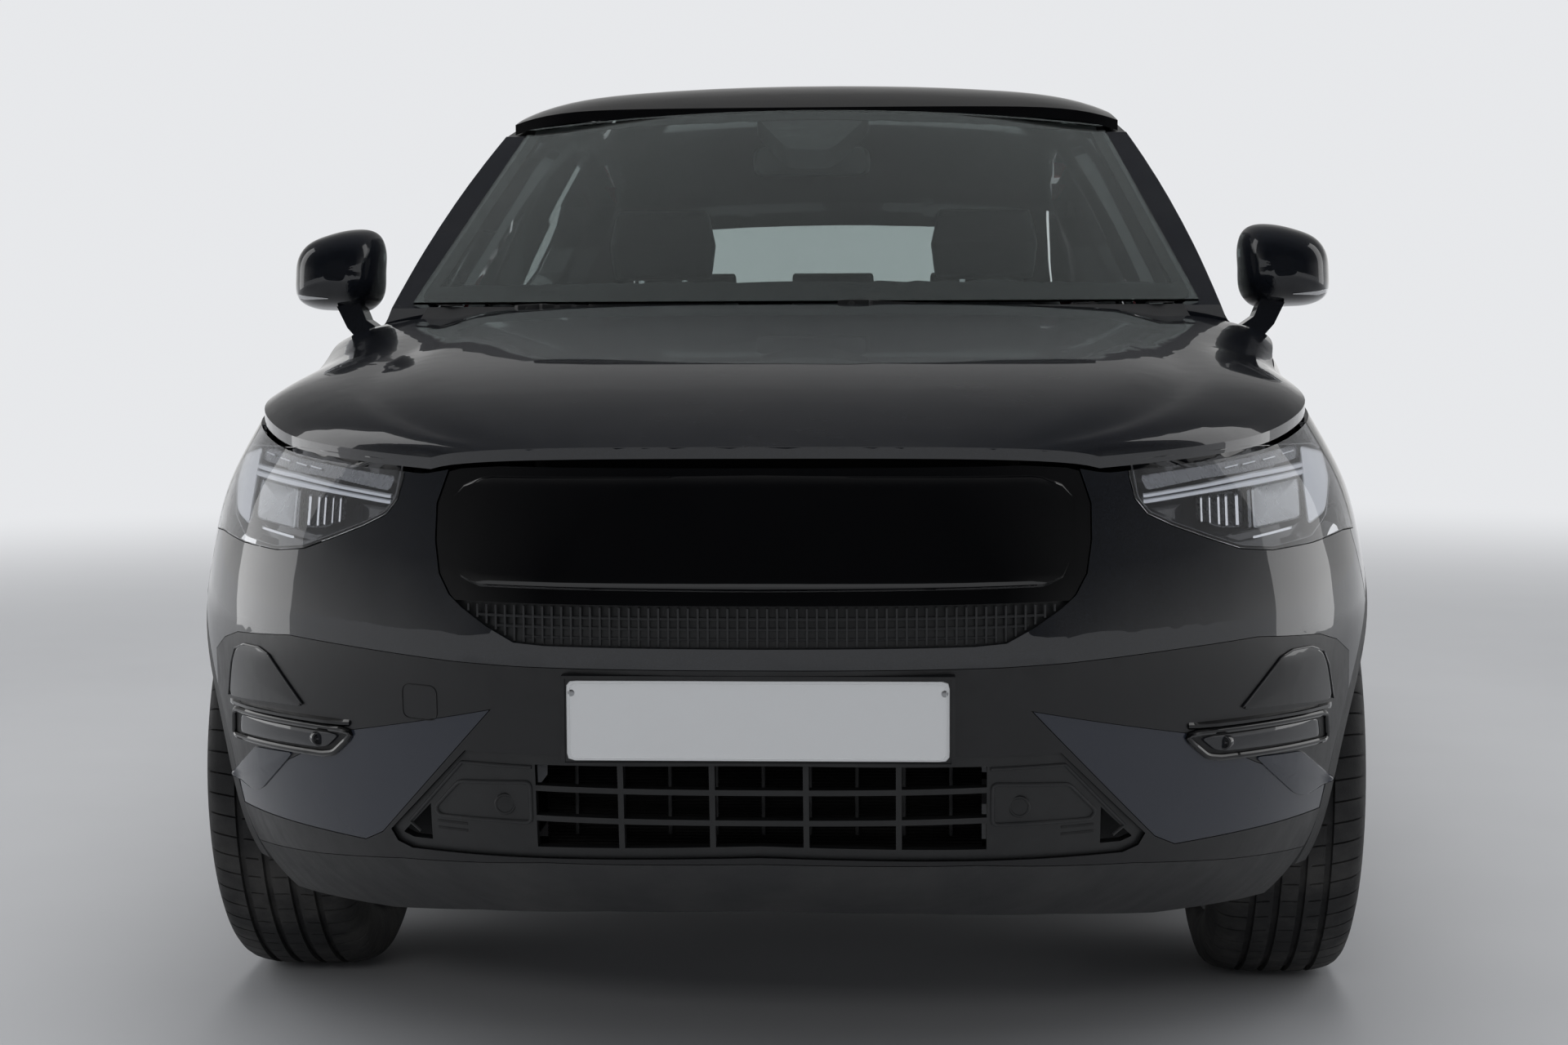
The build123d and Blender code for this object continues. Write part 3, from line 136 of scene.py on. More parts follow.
def make_groups():
    """Effects that several finishes share: grain, settled dust, fine rubbing marks, woven threads."""
    net, given, out = new_group("grain", {"Scale": 900.0}, ["Height", "Mask"])
    cells = net.add("TexVoronoi", Vector=given.outputs["Vector"], Scale=given.outputs["Scale"])
    soft = net.add("TexNoise", Vector=given.outputs["Vector"], Scale=given.outputs["Scale"], Detail=3.0)
    net.feed(out.inputs["Height"], net.math("ADD", cells.outputs["Distance"], soft.outputs["Fac"]))
    net.feed(out.inputs["Mask"], soft.outputs["Fac"])

    net, given, out = new_group("dust", {"Amount": .3, "Low": .0, "High": .5}, ["Mask"])
    place = net.add("SeparateXYZ", Vector=given.outputs["Vector"])
    facing = net.add("SeparateXYZ", Vector=net.add("NewGeometry").outputs["Normal"])
    patch = net.add("TexNoise", Vector=given.outputs["Vector"], Scale=7.0, Detail=8.0, Roughness=.65)
    fall = net.add("MapRange", Value=place.outputs["Z"])
    net.feed(fall.inputs["From Min"], given.outputs["High"])
    net.feed(fall.inputs["From Max"], given.outputs["Low"])
    up = net.math("MAXIMUM", facing.outputs["Z"], 0.0)
    mask = net.math("MULTIPLY", net.ramp(patch.outputs["Fac"], (.42, 0), (.72, 1)),
                    net.math("ADD", fall.outputs[0], net.math("MULTIPLY", up, .25)))
    net.feed(out.inputs["Mask"], net.math("MULTIPLY", mask, given.outputs["Amount"], clamp=True))

    net, given, out = new_group("rubbing", {"Scale": 14.0, "Low": .2, "High": .4}, ["Roughness", "Mask"])
    streak = net.add("Mapping", Vector=given.outputs["Vector"], Scale=(1, 6, 2))
    marks = net.add("TexNoise", Vector=streak.outputs[0], Scale=given.outputs["Scale"], Detail=9.0,
                    Roughness=.7)
    spread = net.add("MapRange", Value=marks.outputs["Fac"])
    spread.inputs["From Min"].default_value = .35
    spread.inputs["From Max"].default_value = .7
    net.feed(spread.inputs["To Min"], given.outputs["Low"])
    net.feed(spread.inputs["To Max"], given.outputs["High"])
    net.feed(out.inputs["Roughness"], spread.outputs[0])
    net.feed(out.inputs["Mask"], marks.outputs["Fac"])

    net, given, out = new_group("weave", {"Scale": 500.0}, ["Height", "Mask"])
    warp, weft, across = (net.add("TexWave", Vector=given.outputs["Vector"], Scale=given.outputs["Scale"],
                                  bands_direction=axis).outputs["Fac"] for axis in "XZY")
    weft = net.math("MAXIMUM", weft, across)
    net.feed(out.inputs["Height"], net.math("MAXIMUM", warp, weft))
    # Mask is low in the gaps between threads, where cloth paints shade from it
    net.feed(out.inputs["Mask"], net.math("MULTIPLY", warp, weft))


def finish(name, **fixed):
    """New material with a Principled shader; fixed values go straight onto its sockets."""
    material = bpy.data.materials.new(name)
    material.use_nodes = True
    tree = material.node_tree
    shader = tree.nodes["Principled BSDF"]
    for key, value in fixed.items():
        shader.inputs[key.replace("_", " ")].default_value = value
    net = Net(tree)
    spot = net.add("TexCoord").outputs["Object"]
    return material, net, shader, spot


def bump(net, shader, height, strength, distance=.001):
    node = net.add("Bump", Height=height, Strength=strength, Distance=distance)
    net.feed(shader.inputs["Normal"], node.outputs[0])


def painted(name, colour, flake, roughness=.22, coat=1.0, dust=.12, metallic=.0):
    """Lacquered metal: flake under a clear coat with a trace of orange peel, and dust low down."""
    material, net, shader, spot = finish(name, Coat_Weight=coat, Coat_Roughness=.012, Metallic=metallic,
                                         Coat_IOR=1.5, Specular_IOR_Level=.06)
    sparkle = net.add("TexVoronoi", Vector=spot, Scale=1600.0)
    tone = net.ramp(sparkle.outputs["Distance"], (.0, flake), (.45, colour), (1, colour))
    film = net.group("dust", Vector=spot, Amount=dust, Low=.2, High=.62).outputs["Mask"]
    net.feed(shader.inputs["Base Color"], net.blend(film, tone, (.16, .15, .14)))
    worn = net.group("rubbing", Vector=spot, Scale=9.0, Low=roughness, High=roughness + .05)
    net.feed(shader.inputs["Roughness"], net.math("ADD", worn.outputs["Roughness"], film))
    peel = net.add("TexNoise", Vector=spot, Scale=95.0, Detail=1.0)
    bump(net, shader, peel.outputs["Fac"], .012)
    return material


def moulded(name, colour, roughness=.5, scale=900.0, depth=.25, dust=.15):
    """Moulded plastic or rubber with a fine grain, paler where dust lies."""
    material, net, shader, spot = finish(name, Coat_Weight=0.0, Coat_Roughness=.05)
    grain = net.group("grain", Vector=spot, Scale=scale)
    film = net.group("dust", Vector=spot, Amount=dust, Low=.1, High=.55).outputs["Mask"]
    pale = tuple(min(1, c * 1.35 + .004) for c in colour)
    tone = net.blend(grain.outputs["Mask"], colour, pale)
    net.feed(shader.inputs["Base Color"], net.blend(film, tone, (.2, .19, .175)))
    worn = net.group("rubbing", Vector=spot, Scale=11.0, Low=roughness - .05, High=roughness + .09)
    net.feed(shader.inputs["Roughness"], worn.outputs["Roughness"])
    bump(net, shader, grain.outputs["Height"], depth, .0006)
    return material


def metal(name, colour, roughness=.3, metallic=1.0, dust=.1, scale=400.0, depth=.06):
    """Bare or coated metal: rubbing marks in its roughness, a cast grain, dust in its colour."""
    material, net, shader, spot = finish(name, Metallic=metallic)
    worn = net.group("rubbing", Vector=spot, Scale=16.0, Low=roughness - .06, High=roughness + .14)
    film = net.group("dust", Vector=spot, Amount=dust, Low=.05, High=.5).outputs["Mask"]
    dull = tuple(c * .72 for c in colour)
    tone = net.blend(worn.outputs["Mask"], dull, colour)
    net.feed(shader.inputs["Base Color"], net.blend(film, tone, (.2, .18, .16)))
    net.feed(shader.inputs["Roughness"], worn.outputs["Roughness"])
    grain = net.group("grain", Vector=spot, Scale=scale)
    bump(net, shader, grain.outputs["Height"], depth, .0005)
    return material


def clear(name, colour, ior=1.45, smear=.008):
    """Glass or clear plastic, with faint wiping marks in its roughness."""
    material, net, shader, spot = finish(name, Transmission_Weight=1.0, IOR=ior)
    smears = net.group("rubbing", Vector=spot, Scale=2.0, Low=0.0, High=smear)
    net.feed(shader.inputs["Roughness"], smears.outputs["Roughness"])
    tint = net.add("TexNoise", Vector=spot, Scale=1.5)
    edge = tuple(c * .97 for c in colour)
    net.feed(shader.inputs["Base Color"], net.blend(tint.outputs["Fac"], colour, edge))
    return material


def cloth(name, colour, scale=420.0, roughness=.85):
    """Woven upholstery: threads in relief, darker between them, where painted shade stands for the gaps between
    threads.
    """
    material, net, shader, spot = finish(name, Sheen_Weight=.25, Sheen_Roughness=.5)
    weave = net.group("weave", Vector=spot, Scale=scale)
    # painted shade: the gaps between the threads get half the thread's colour
    gap_shade = tuple(c * .5 for c in colour)
    net.feed(shader.inputs["Base Color"], net.blend(weave.outputs["Mask"], gap_shade, colour))
    worn = net.group("rubbing", Vector=spot, Scale=6.0, Low=roughness - .08, High=roughness + .06)
    net.feed(shader.inputs["Roughness"], worn.outputs["Roughness"])
    bump(net, shader, weave.outputs["Height"], .35, .0008)
    return material


def make_materials():
    """One finish for each material slot, and a few more for small pieces."""
    black, deep = (.0045, .005, .0065), (.0032, .0033, .0038)
    return {
        "paint": painted("paint", black, (.038, .047, .066), metallic=.1),
        "roof_black": painted("roof_black", deep, deep, roughness=.12, dust=.05),
        "gloss_black": painted("gloss_black", deep, deep, roughness=.1, dust=.06),
        "gloss_grey": painted("gloss_grey", (.012, .0125, .014), (.014, .014, .016), roughness=.14, dust=.06),
        "matt_black": moulded("matt_black", (.017, .0175, .0185), .52, 700.0, .22),
        "glass": clear("glass", (.60, .66, .65)),
        "lamp_clear": clear("lamp_clear", (.97, .98, 1.0), ior=1.33, smear=.004),
        "lamp_inner": metal("lamp_inner", (.085, .088, .095), .3, .7, dust=0.0, depth=.02),
        "lamp_red": painted("lamp_red", (.25, .004, .006), (.34, .008, .01), roughness=.08, dust=.04),
        "steel": metal("steel", (.05, .05, .052), .5, .6, .35, 260.0, .2),
        "aluminium": metal("aluminium", (.42, .43, .45), .42, .9, .3, 300.0, .2),
        "rim": metal("rim", (.12, .122, .13), .24, .85, .08, 500.0, .03),
        "tyre": moulded("tyre", (.011, .011, .0115), .72, 520.0, .3, .35),
        "trim_cloth": cloth("trim_cloth", (.035, .036, .04)),
        "thread": cloth("thread", (.55, .55, .53), 900.0, .7),
        "chrome": metal("chrome", (.80, .81, .83), .08, dust=0.0, depth=.01),
        "steel_bright": metal("steel_bright", (.45, .46, .47), .3, dust=.1, depth=.05),
        "mirror_silver": metal("mirror_silver", (.82, .84, .86), .07, dust=0.0, scale=60.0, depth=.004),
        "light_guide": painted("light_guide", (.74, .76, .80), (.80, .82, .86), roughness=.22, dust=0.0),
        "indicator": painted("indicator", (.66, .67, .68), (.74, .75, .76), roughness=.14, dust=0.0),
        "lamp_bright": painted("lamp_bright", (.52, .012, .014), (.62, .02, .02), roughness=.1, dust=0.0),
        "lamp_grey": metal("lamp_grey", (.17, .175, .185), .26, .7, dust=0.0, depth=.02),
        "smoked": painted("smoked", (.018, .019, .022), (.024, .025, .028), roughness=.1, dust=0.0),
        "moulded_dark": moulded("moulded_dark", (.010, .0105, .011), .45, 900.0, .15, .05),
        # near black for print, joint lines and vent blades, and painted shade where dark sheets stand for
        # openings: intake slots and fog lamp recesses
        "black_and_painted_shade": moulded("black_and_painted_shade", (.0035, .0035, .004), .6, 700.0, .1, .03),
        "gloss_blue": painted("gloss_blue", (.024, .028, .040), (.034, .039, .052), roughness=.12, dust=.03),
        "satin_black": moulded("satin_black", (.004, .0042, .005), .34, 900.0, .04, .03),
        "plate_white": painted("plate_white", (.74, .75, .755), (.78, .79, .80), roughness=.3, coat=.4,
                               dust=.1),
        "screen_glass": painted("screen_glass", (.006, .0065, .008), (.008, .009, .011), roughness=.06,
                                dust=.02),
        "cabin_plastic": moulded("cabin_plastic", (.02, .02, .021), .6, 800.0, .35, .02),
    }


# ---------------------------------------------------------------- studio
def make_stage():
    """Pale floor that fades into the pale background far away, soft overhead and side boxes."""
    far = 60.0
    corners = np.array([(-far, -far, 0), (far, -far, 0), (-far, far, 0), (far, far, 0)])
    floor = mesh_object("floor", corners, quads(2, 2))
    material = bpy.data.materials.new("floor_pale")
    material.use_nodes = True
    net = Net(material.node_tree)
    shader = material.node_tree.nodes["Principled BSDF"]
    shader.inputs["Roughness"].default_value = .6
    shader.inputs["Specular IOR Level"].default_value = .2
    spot = net.add("TexCoord").outputs["Object"]
    mottle = net.add("TexNoise", Vector=spot, Scale=3.0, Detail=6.0)
    tone = net.blend(mottle.outputs["Fac"], (.47, .475, .485), (.50, .505, .515))
    net.feed(shader.inputs["Base Color"], tone)
    away = net.add("VectorMath", operation="LENGTH", V0=spot).outputs["Value"]
    fade = net.add("MapRange", Value=away, interpolation_type="SMOOTHSTEP")
    fade.inputs["From Min"].default_value, fade.inputs["From Max"].default_value = FLOOR_FADE
    plain = net.add("Emission", Color=(*BACKGROUND, 1))
    mix = net.add("MixShader", V0=net.math("MULTIPLY", fade.outputs[0], seen_ray(net)))
    net.feed(mix.inputs[1], shader.outputs[0])
    net.feed(mix.inputs[2], plain.outputs[0])
    net.feed(material.node_tree.nodes["Material Output"].inputs["Surface"], mix.outputs[0])
    floor.data.materials.append(material)

    world = bpy.data.worlds.new("studio")
    world.use_nodes = True
    bpy.context.scene.world = world
    net = Net(world.node_tree)
    way = net.add("SeparateXYZ", Vector=net.add("TexCoord").outputs["Generated"])
    ahead = net.add("MapRange", Value=way.outputs["Y"])
    for key, value in (("From Min", -.8), ("From Max", .05), ("To Min", .02), ("To Max", 1.0)):
        ahead.inputs[key].default_value = value
    walls = net.ramp(way.outputs["Z"], (0, .80), (.07, .62), (.2, .26), (.45, .12), (1, .09))
    path = net.add("LightPath")
    straight = net.math("MAXIMUM", path.outputs["Is Camera Ray"], path.outputs["Is Transmission Ray"])
    shiny = net.math("MULTIPLY", ahead.outputs[0], walls)
    unseen = net.blend(path.outputs["Is Glossy Ray"], (.42, .43, .45), shiny)
    back = world.node_tree.nodes["Background"]
    net.feed(back.inputs["Color"], net.blend(straight, unseen, BACKGROUND))
    back.inputs["Strength"].default_value = 1.0
    lamp("overhead", (0, .4, 5.2), (0, .2, 0), (4.6, 7.0), 230).visible_glossy = False
    for side in (1, -1):
        lamp("side_box", (side * 6.5, .6, 2.2), (0, .2, .7), (3.2, 9.0), 130)
    lamp("front_fill", (-1.5, -8.5, 3.4), (0, -1.6, .6), (3.0, .8), 48).visible_glossy = False


def seen_ray(net):
    """1 for rays from the camera, from gloss and through glass, 0 for the light that falls on the object."""
    path = net.add("LightPath")
    straight = net.math("MAXIMUM", path.outputs["Is Camera Ray"], path.outputs["Is Glossy Ray"])
    return net.math("MAXIMUM", straight, path.outputs["Is Transmission Ray"])


def lamp(name, place, target, size, power):
    """Rectangular soft box at a place, facing a target."""
    light = bpy.data.lights.new(name, "AREA")
    light.shape = "RECTANGLE"
    light.size, light.size_y = size
    light.energy = power
    item = bpy.data.objects.new(name, light)
    bpy.context.scene.collection.objects.link(item)
    item.visible_camera = item.visible_transmission = False
    item.location = place
    item.rotation_euler = (Vector(target) - Vector(place)).to_track_quat("-Z", "Y").to_euler()
    return item


def make_camera():
    """Bonnet-high view from just off the centre line, turned 3 degrees left and 5 down."""
    data = bpy.data.cameras.new("view")
    data.sensor_width, data.lens = 36.0, CAMERA_LENS
    camera = bpy.data.objects.new("view", data)
    bpy.context.scene.collection.objects.link(camera)
    yaw, pitch, roll = (math.radians(a) for a in (CAMERA_YAW, 90 + CAMERA_PITCH, CAMERA_ROLL))
    turn = Matrix.Rotation(yaw, 4, "Z") @ Matrix.Rotation(pitch, 4, "X") @ Matrix.Rotation(roll, 4, "Z")
    camera.matrix_world = Matrix.Translation(CAMERA_PLACE) @ turn
    bpy.context.scene.camera = camera


# ---------------------------------------------------------------- surfaces
def mesh_object(name, points, *faces, smooth=True):
    """Object at the origin from an (n, 3) array of points and arrays of corner numbers, one for each size
    of face."""
    points = np.asarray(points, np.float32)
    corners = np.concatenate([f.ravel() for f in faces]).astype(np.int32)
    sizes = np.concatenate([np.full(len(f), f.shape[1]) for f in faces])
    starts = np.concatenate([[0], np.cumsum(sizes)[:-1]]).astype(np.int32)
    mesh = bpy.data.meshes.new(name)
    mesh.vertices.add(len(points))
    mesh.vertices.foreach_set("co", points.ravel())
    mesh.loops.add(len(corners))
    mesh.loops.foreach_set("vertex_index", corners)
    mesh.polygons.add(len(sizes))
    mesh.polygons.foreach_set("loop_start", starts)
    mesh.polygons.foreach_set("use_smooth", np.full(len(sizes), smooth))
    mesh.update(calc_edges=True)
    mesh.validate()
    item = bpy.data.objects.new(name, mesh)
    bpy.context.scene.collection.objects.link(item)
    return item


def quads(rows, columns, wrap_rows=False, wrap_columns=False):
    """Corners of the cells of a grid of rows by columns, closed round in either direction."""
    r = np.arange(rows if wrap_rows else rows - 1)
    c = np.arange(columns if wrap_columns else columns - 1)
    r, c = (a.ravel() for a in np.meshgrid(r, c, indexing="ij"))
    r2, c2 = (r + 1) % rows, (c + 1) % columns
    return np.stack([r * columns + c, r * columns + c2, r2 * columns + c2, r2 * columns + c], 1)


def shell(name, grid, side=1, ring=False, smooth=True, crease=35):
    """Closed skin through a (rows, columns, 3) grid whose columns run round it. The first and last rows are
    closed by fans to their middles, or the rows run round too. The side -1 mirrors it in x. Its signed
    volume, the sum of a . (b x c) over its triangles, says whether the faces have to be turned over."""
    rows, columns = grid.shape[:2]
    points = grid.reshape(-1, 3) * (side, 1, 1)
    cells = quads(rows, columns, ring, True)
    fans = np.zeros((0, 3), int)
    if not ring:
        middles = np.stack([grid[0].mean(0), grid[-1].mean(0)]) * (side, 1, 1)
        points = np.vstack([points, middles])
        k = np.arange(columns)
        after, last, n = (k + 1) % columns, (rows - 1) * columns, rows * columns
        fans = np.vstack([np.stack([after, k, np.full(columns, n)], 1),
                          np.stack([k + last, after + last, np.full(columns, n + 1)], 1)])
    a, b, c, d = (points[cells[:, j]] for j in range(4))
    volume = (a * (np.cross(b, c) + np.cross(c, d))).sum()
    volume += (points[fans[:, 0]] * np.cross(points[fans[:, 1]], points[fans[:, 2]])).sum()
    if volume < 0:
        cells, fans = cells[:, ::-1], fans[:, ::-1]
    faces = [cells, fans] if len(fans) else [cells]
    item = mesh_object(name, points, *faces, smooth=smooth)
    if smooth:
        item.data.set_sharp_from_angle(angle=math.radians(crease))
    return item


def sweep(name, path, section, up=(0, 0, 1), side=1, ring=False, size=None, crease=35):
    """Section of (across, rise) points carried along a path: each point is the path's point, plus across
    times the sideways direction, plus rise times the direction square to both, times the local size."""
    path, section = np.asarray(path, float), np.asarray(section, float)
    ahead = np.roll(path, -1, 0) - np.roll(path, 1, 0) if ring else np.gradient(path, axis=0)
    ahead /= np.linalg.norm(ahead, axis=1, keepdims=True)
    across = np.cross(ahead, np.broadcast_to(np.asarray(up, float), path.shape))
    across /= np.linalg.norm(across, axis=1, keepdims=True)
    rise = np.cross(across, ahead)
    scale = np.ones(len(path)) if size is None else np.asarray(size, float)
    grid = (path[:, None] + scale[:, None, None] * (across[:, None] * section[None, :, :1]
                                                    + rise[:, None] * section[None, :, 1:]))
    return shell(name, grid, side, ring, crease=crease)


def turned(name, profile, centre, along, count=40, side=1, ring=False, crease=35):
    """Profile of (along, radius) points turned about an axis through a centre."""
    profile, along = np.asarray(profile, float), np.asarray(along, float) / np.linalg.norm(along)
    across = np.cross(along, (0, 0, 1) if abs(along[2]) < .9 else (1, 0, 0))
    across /= np.linalg.norm(across)
    angle = TAU * np.arange(count) / count
    spokes = np.cos(angle)[:, None] * across + np.sin(angle)[:, None] * np.cross(along, across)
    grid = np.asarray(centre) + along * profile[:, :1, None] + spokes[None] * profile[:, 1:, None]
    return shell(name, grid, side, ring, crease=crease)


def blocks(name, lows, highs, side=1):
    """Many boxes in one mesh, from arrays of their lowest and highest corners."""
    lows, highs = np.asarray(lows, float), np.asarray(highs, float)
    pick = np.array([(i, j, k) for i in (0, 1) for j in (0, 1) for k in (0, 1)])
    points = np.where(pick[None] == 0, lows[:, None], highs[:, None]) * (side, 1, 1)
    box = np.array([(0, 1, 3, 2), (4, 6, 7, 5), (0, 4, 5, 1), (2, 3, 7, 6), (0, 2, 6, 4), (1, 5, 7, 3)])
    box = box[:, ::-1] if side < 0 else box
    cells = (box[None] + 8 * np.arange(len(lows))[:, None, None]).reshape(-1, 4)
    return mesh_object(name, points.reshape(-1, 3), cells, smooth=False)


def circle(radius, count=10, flat=1.0):
    """Round or flattened section."""
    angle = TAU * np.arange(count) / count
    return np.stack([radius * np.cos(angle), flat * radius * np.sin(angle)], 1)


def spread(points, count, ring=False):
    """Points at equal steps along a run of straight pieces."""
    points = np.asarray(points, float)
    points = np.vstack([points, points[:1]]) if ring else points
    gone = np.concatenate([[0], np.cumsum(np.linalg.norm(np.diff(points, axis=0), axis=1))])
    at = np.linspace(0, gone[-1], count, endpoint=not ring)
    return np.stack([np.interp(at, gone, column) for column in points.T], 1)


def rounded(points, radius, count=80):
    """Closed outline with its corners rounded: each is a parabola between points a radius away from it."""
    points = np.asarray(points, float)
    before, after = np.roll(points, 1, 0) - points, np.roll(points, -1, 0) - points
    reach = [np.minimum(radius, np.linalg.norm(v, axis=1, keepdims=True) * .45) for v in (before, after)]
    start = points + before / np.linalg.norm(before, axis=1, keepdims=True) * reach[0]
    end = points + after / np.linalg.norm(after, axis=1, keepdims=True) * reach[1]
    t = np.linspace(0, 1, 6)[None, :, None]
    arcs = (1 - t) ** 2 * start[:, None] + 2 * t * (1 - t) * points[:, None] + t ** 2 * end[:, None]
    return spread(arcs.reshape(-1, 2), count, ring=True)


class Skin:
    """Surface of some solids seen square on from one side: rays along an axis meet it on a grid, and every
    later point is read from that grid by bilinear weights. The heading is the way the rays go."""

    def __init__(self, nodes, axis, heading, u_span, v_span, step=.006, start=5.0):
        points, triangles, count = [], [], 0
        for node in nodes:
            mesh = NODES[node].data
            place = np.empty(len(mesh.vertices) * 3, np.float32)
            mesh.vertices.foreach_get("co", place)
            corner = np.empty(len(mesh.loops), np.int32)
            mesh.loops.foreach_get("vertex_index", corner)
            points.append(place.reshape(-1, 3))
            triangles.append(corner.reshape(-1, 3) + count)
            count += len(mesh.vertices)
        tree = BVHTree.FromPolygons(np.concatenate(points).tolist(), np.concatenate(triangles).tolist())
        self.axis, self.heading = axis, heading
        self.u = np.arange(*u_span, step)
        self.v = np.arange(*v_span, step)
        way = [0.0, 0.0, 0.0]
        way[axis] = heading
        depth = np.full((len(self.u), len(self.v)), np.nan)
        for i, u in enumerate(self.u):
            for j, v in enumerate(self.v):
                origin = [u, v]
                origin.insert(axis, -heading * start)
                place = tree.ray_cast(origin, way)[0]
                if place is not None:
                    depth[i, j] = place[axis]
        self.met = ~np.isnan(depth)
        for table, places in ((depth, self.v), (depth.T, self.u)):
            for line in table:
                known = ~np.isnan(line)
                if known.any():
                    line[~known] = np.interp(places[~known], places[known], line[known])
        self.depth = depth

    def at(self, u, v, lift=0.0):
        """Points of the surface at (u, v), moved out towards where the rays come from."""
        u, v = np.broadcast_arrays(np.asarray(u, float), np.asarray(v, float))
        seek = np.abs(u) if self.axis else u
        i, j = (np.clip((w - g[0]) / (g[1] - g[0]), 0, len(g) - 1.001)
                for w, g in ((seek, self.u), (v, self.v)))
        i0, j0 = i.astype(int), j.astype(int)
        i, j = i - i0, j - j0
        d = self.depth
        depth = ((d[i0, j0] * (1 - j) + d[i0, j0 + 1] * j) * (1 - i)
                 + (d[i0 + 1, j0] * (1 - j) + d[i0 + 1, j0 + 1] * j) * i) - self.heading * lift
        parts = [u, v]
        parts.insert(self.axis, depth)
        return np.stack(np.broadcast_arrays(*parts), -1)


class Flat:
    """Plane square to an axis, read in the same way as a Skin."""

    def __init__(self, axis, heading, depth):
        self.axis, self.heading, self.depth = axis, heading, depth

    def at(self, u, v, lift=0.0):
        u, v, depth = np.broadcast_arrays(u, v, self.depth - self.heading * np.asarray(lift, float))
        parts = [u, v]
        parts.insert(self.axis, depth)
        return np.stack(parts, -1)


def rim_rise(lift, depth):
    """Height of a bevelled rim: just under the surface, or part of the way down a piece that lies deeper."""
    return -.2 * depth if lift > 0 else lift - .3 * (lift + depth)


def plate(name, skin, outline, lift=.002, depth=.003, edge=.02, side=1, steps=7, crown=0.0):
    """Raised plate on a surface. Rings shrink from the outline to its middle; the front stands proud by lift
    plus crown times (1 - share squared), its rim is bevelled over the edge share, its back lies deeper."""
    outline = np.asarray(outline, float)
    middle = outline.mean(0)
    front = np.concatenate([[1.0, 1 - edge], np.linspace(1 - 2 * edge, .04, steps)])
    rise = np.where(front == 1.0, rim_rise(lift, depth), lift) + crown * (1 - front ** 2)
    share = np.concatenate([[.04, 1.0], front])
    rise = np.concatenate([[-depth, -depth], rise])
    ring = middle + (outline - middle) * share[:, None, None]
    return shell(name, skin.at(ring[..., 0], ring[..., 1], rise[:, None]), side)


def ribbon(name, skin, one, other, lift=.002, depth=.002, side=1, count=9, bevel=.12):
    """Strip on a surface between two curves of (u, v) points. Across it t runs 0 to 1, and it stands proud by
    lift(u, v), or by the plain lift, falling to nothing over the bevel share at both edges."""
    one, other = np.asarray(one, float), np.asarray(other, float)
    t = np.concatenate([[0, bevel], np.linspace(bevel, 1 - bevel, count)[1:-1], [1 - bevel, 1]])
    across = one[:, None] + (other - one)[:, None] * t[None, :, None]
    u, v = across[..., 0], across[..., 1]
    proud = lift(u, v) if callable(lift) else np.full(u.shape, float(lift))
    proud[:, [0, -1]] = rim_rise(1 if callable(lift) else lift, depth)
    front = skin.at(u, v, proud)
    back = skin.at(u[:, [-1, 0]], v[:, [-1, 0]], -depth)
    return shell(name, np.concatenate([front, back], 1), side)


def along_skin(skin, points, count, lift=0.0, ring=False):
    """Path on a surface through (u, v) points."""
    path = spread(points, count, ring)
    return skin.at(path[:, 0], path[:, 1], lift)


def add(piece, finish_name, body="root"):
    """Give a piece its finish and the body that it rides on."""
    piece.data.materials.clear()
    piece.data.materials.append(MATERIALS[finish_name])
    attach(piece, body)
    return piece


def level(us, value):
    """Curve of (u, v) points at one v, or at values read at each u."""
    return np.stack([us, np.broadcast_to(value, us.shape)], 1)


# ---------------------------------------------------------------- wheels
def tyre_tread(name, node, body, side, y, radius, half):
    """Tyre as rings of one section: four grooves run round it, and narrow cuts cross the shoulders and ribs.
    A point's angle is the ring's angle plus a slant that grows towards the shoulders."""
    bead, rim = .2413, .241
    wall = [(half - .022, bead), (half - .022, rim + .018), (half - .010, rim + .026),
            (half - .006, rim + .034),
            (half - .001, rim + .048), (half, rim + .062), (half - .0015, radius - .045),
            (half - .006, radius - .030),
            (half - .010, radius - .021), (half - .016, radius - .014), (half - .025, radius - .0085),
            (half - .036, radius - .005), (half - .048, radius - .0025)]
    lanes = [.0615, .0603, .0517, .0505, .046, .034, .0295, .0245, .0233, .0147, .0135, .009, .004]
    tread = [(a, radius - .001 * (a / .06) ** 2) for a in lanes]
    depth = [0] * len(wall) + [0, GROOVE, GROOVE, 0, 0, 0, 0, 0, GROOVE, GROOVE, 0, 0, 0]
    cut = [0] * 8 + [.6, 1, 1, 1, 1] + [1, 0, 0, 0, 1, 1, 0, 0, 0, 0, 0, .6, .6]
    outer = np.array(wall + tread + [(0, radius)])
    outer = np.vstack([outer, outer[-2::-1] * (-1, 1)])
    depth = np.array(depth + [0] + depth[::-1])
    cut = np.array(cut + [.6] + cut[::-1])
    inner = np.array([(-half + .036, bead), (-half + .034, rim + .02), (-half + .013, rim + .052),
                      (-half + .022, radius - .024), (0, radius - .014), (half - .022, radius - .024),
                      (half - .013, rim + .052), (half - .034, rim + .02), (half - .036, bead)])
    share = np.array([0, .03, .06, .09, .32, .55, .78])
    slot = np.array([0, 1, 1, 0, 0, 0, 0])
    angle = TAU * ((np.arange(TREAD_PITCHES)[:, None] + share) / TREAD_PITCHES).ravel()
    slot = np.tile(slot, TREAD_PITCHES)
    across = np.concatenate([outer[:, 0], inner[:, 0]])
    cut = np.concatenate([cut, np.zeros(len(inner))])
    height = np.concatenate([outer[:, 1] - depth, inner[:, 1]])[None] - SIPE * slot[:, None] * cut
    slant = .35 * np.clip(np.abs(across) - .03, 0, .07) * np.sign(across)
    turn = angle[:, None] + slant[None]
    grid = np.stack([WHEEL_X + np.broadcast_to(across, turn.shape), y + height * np.sin(turn),
                     radius + height * np.cos(turn)], -1)
    piece = add(shell(name, grid, side, ring=True, crease=40), "tyre", body=body)
    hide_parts(node)


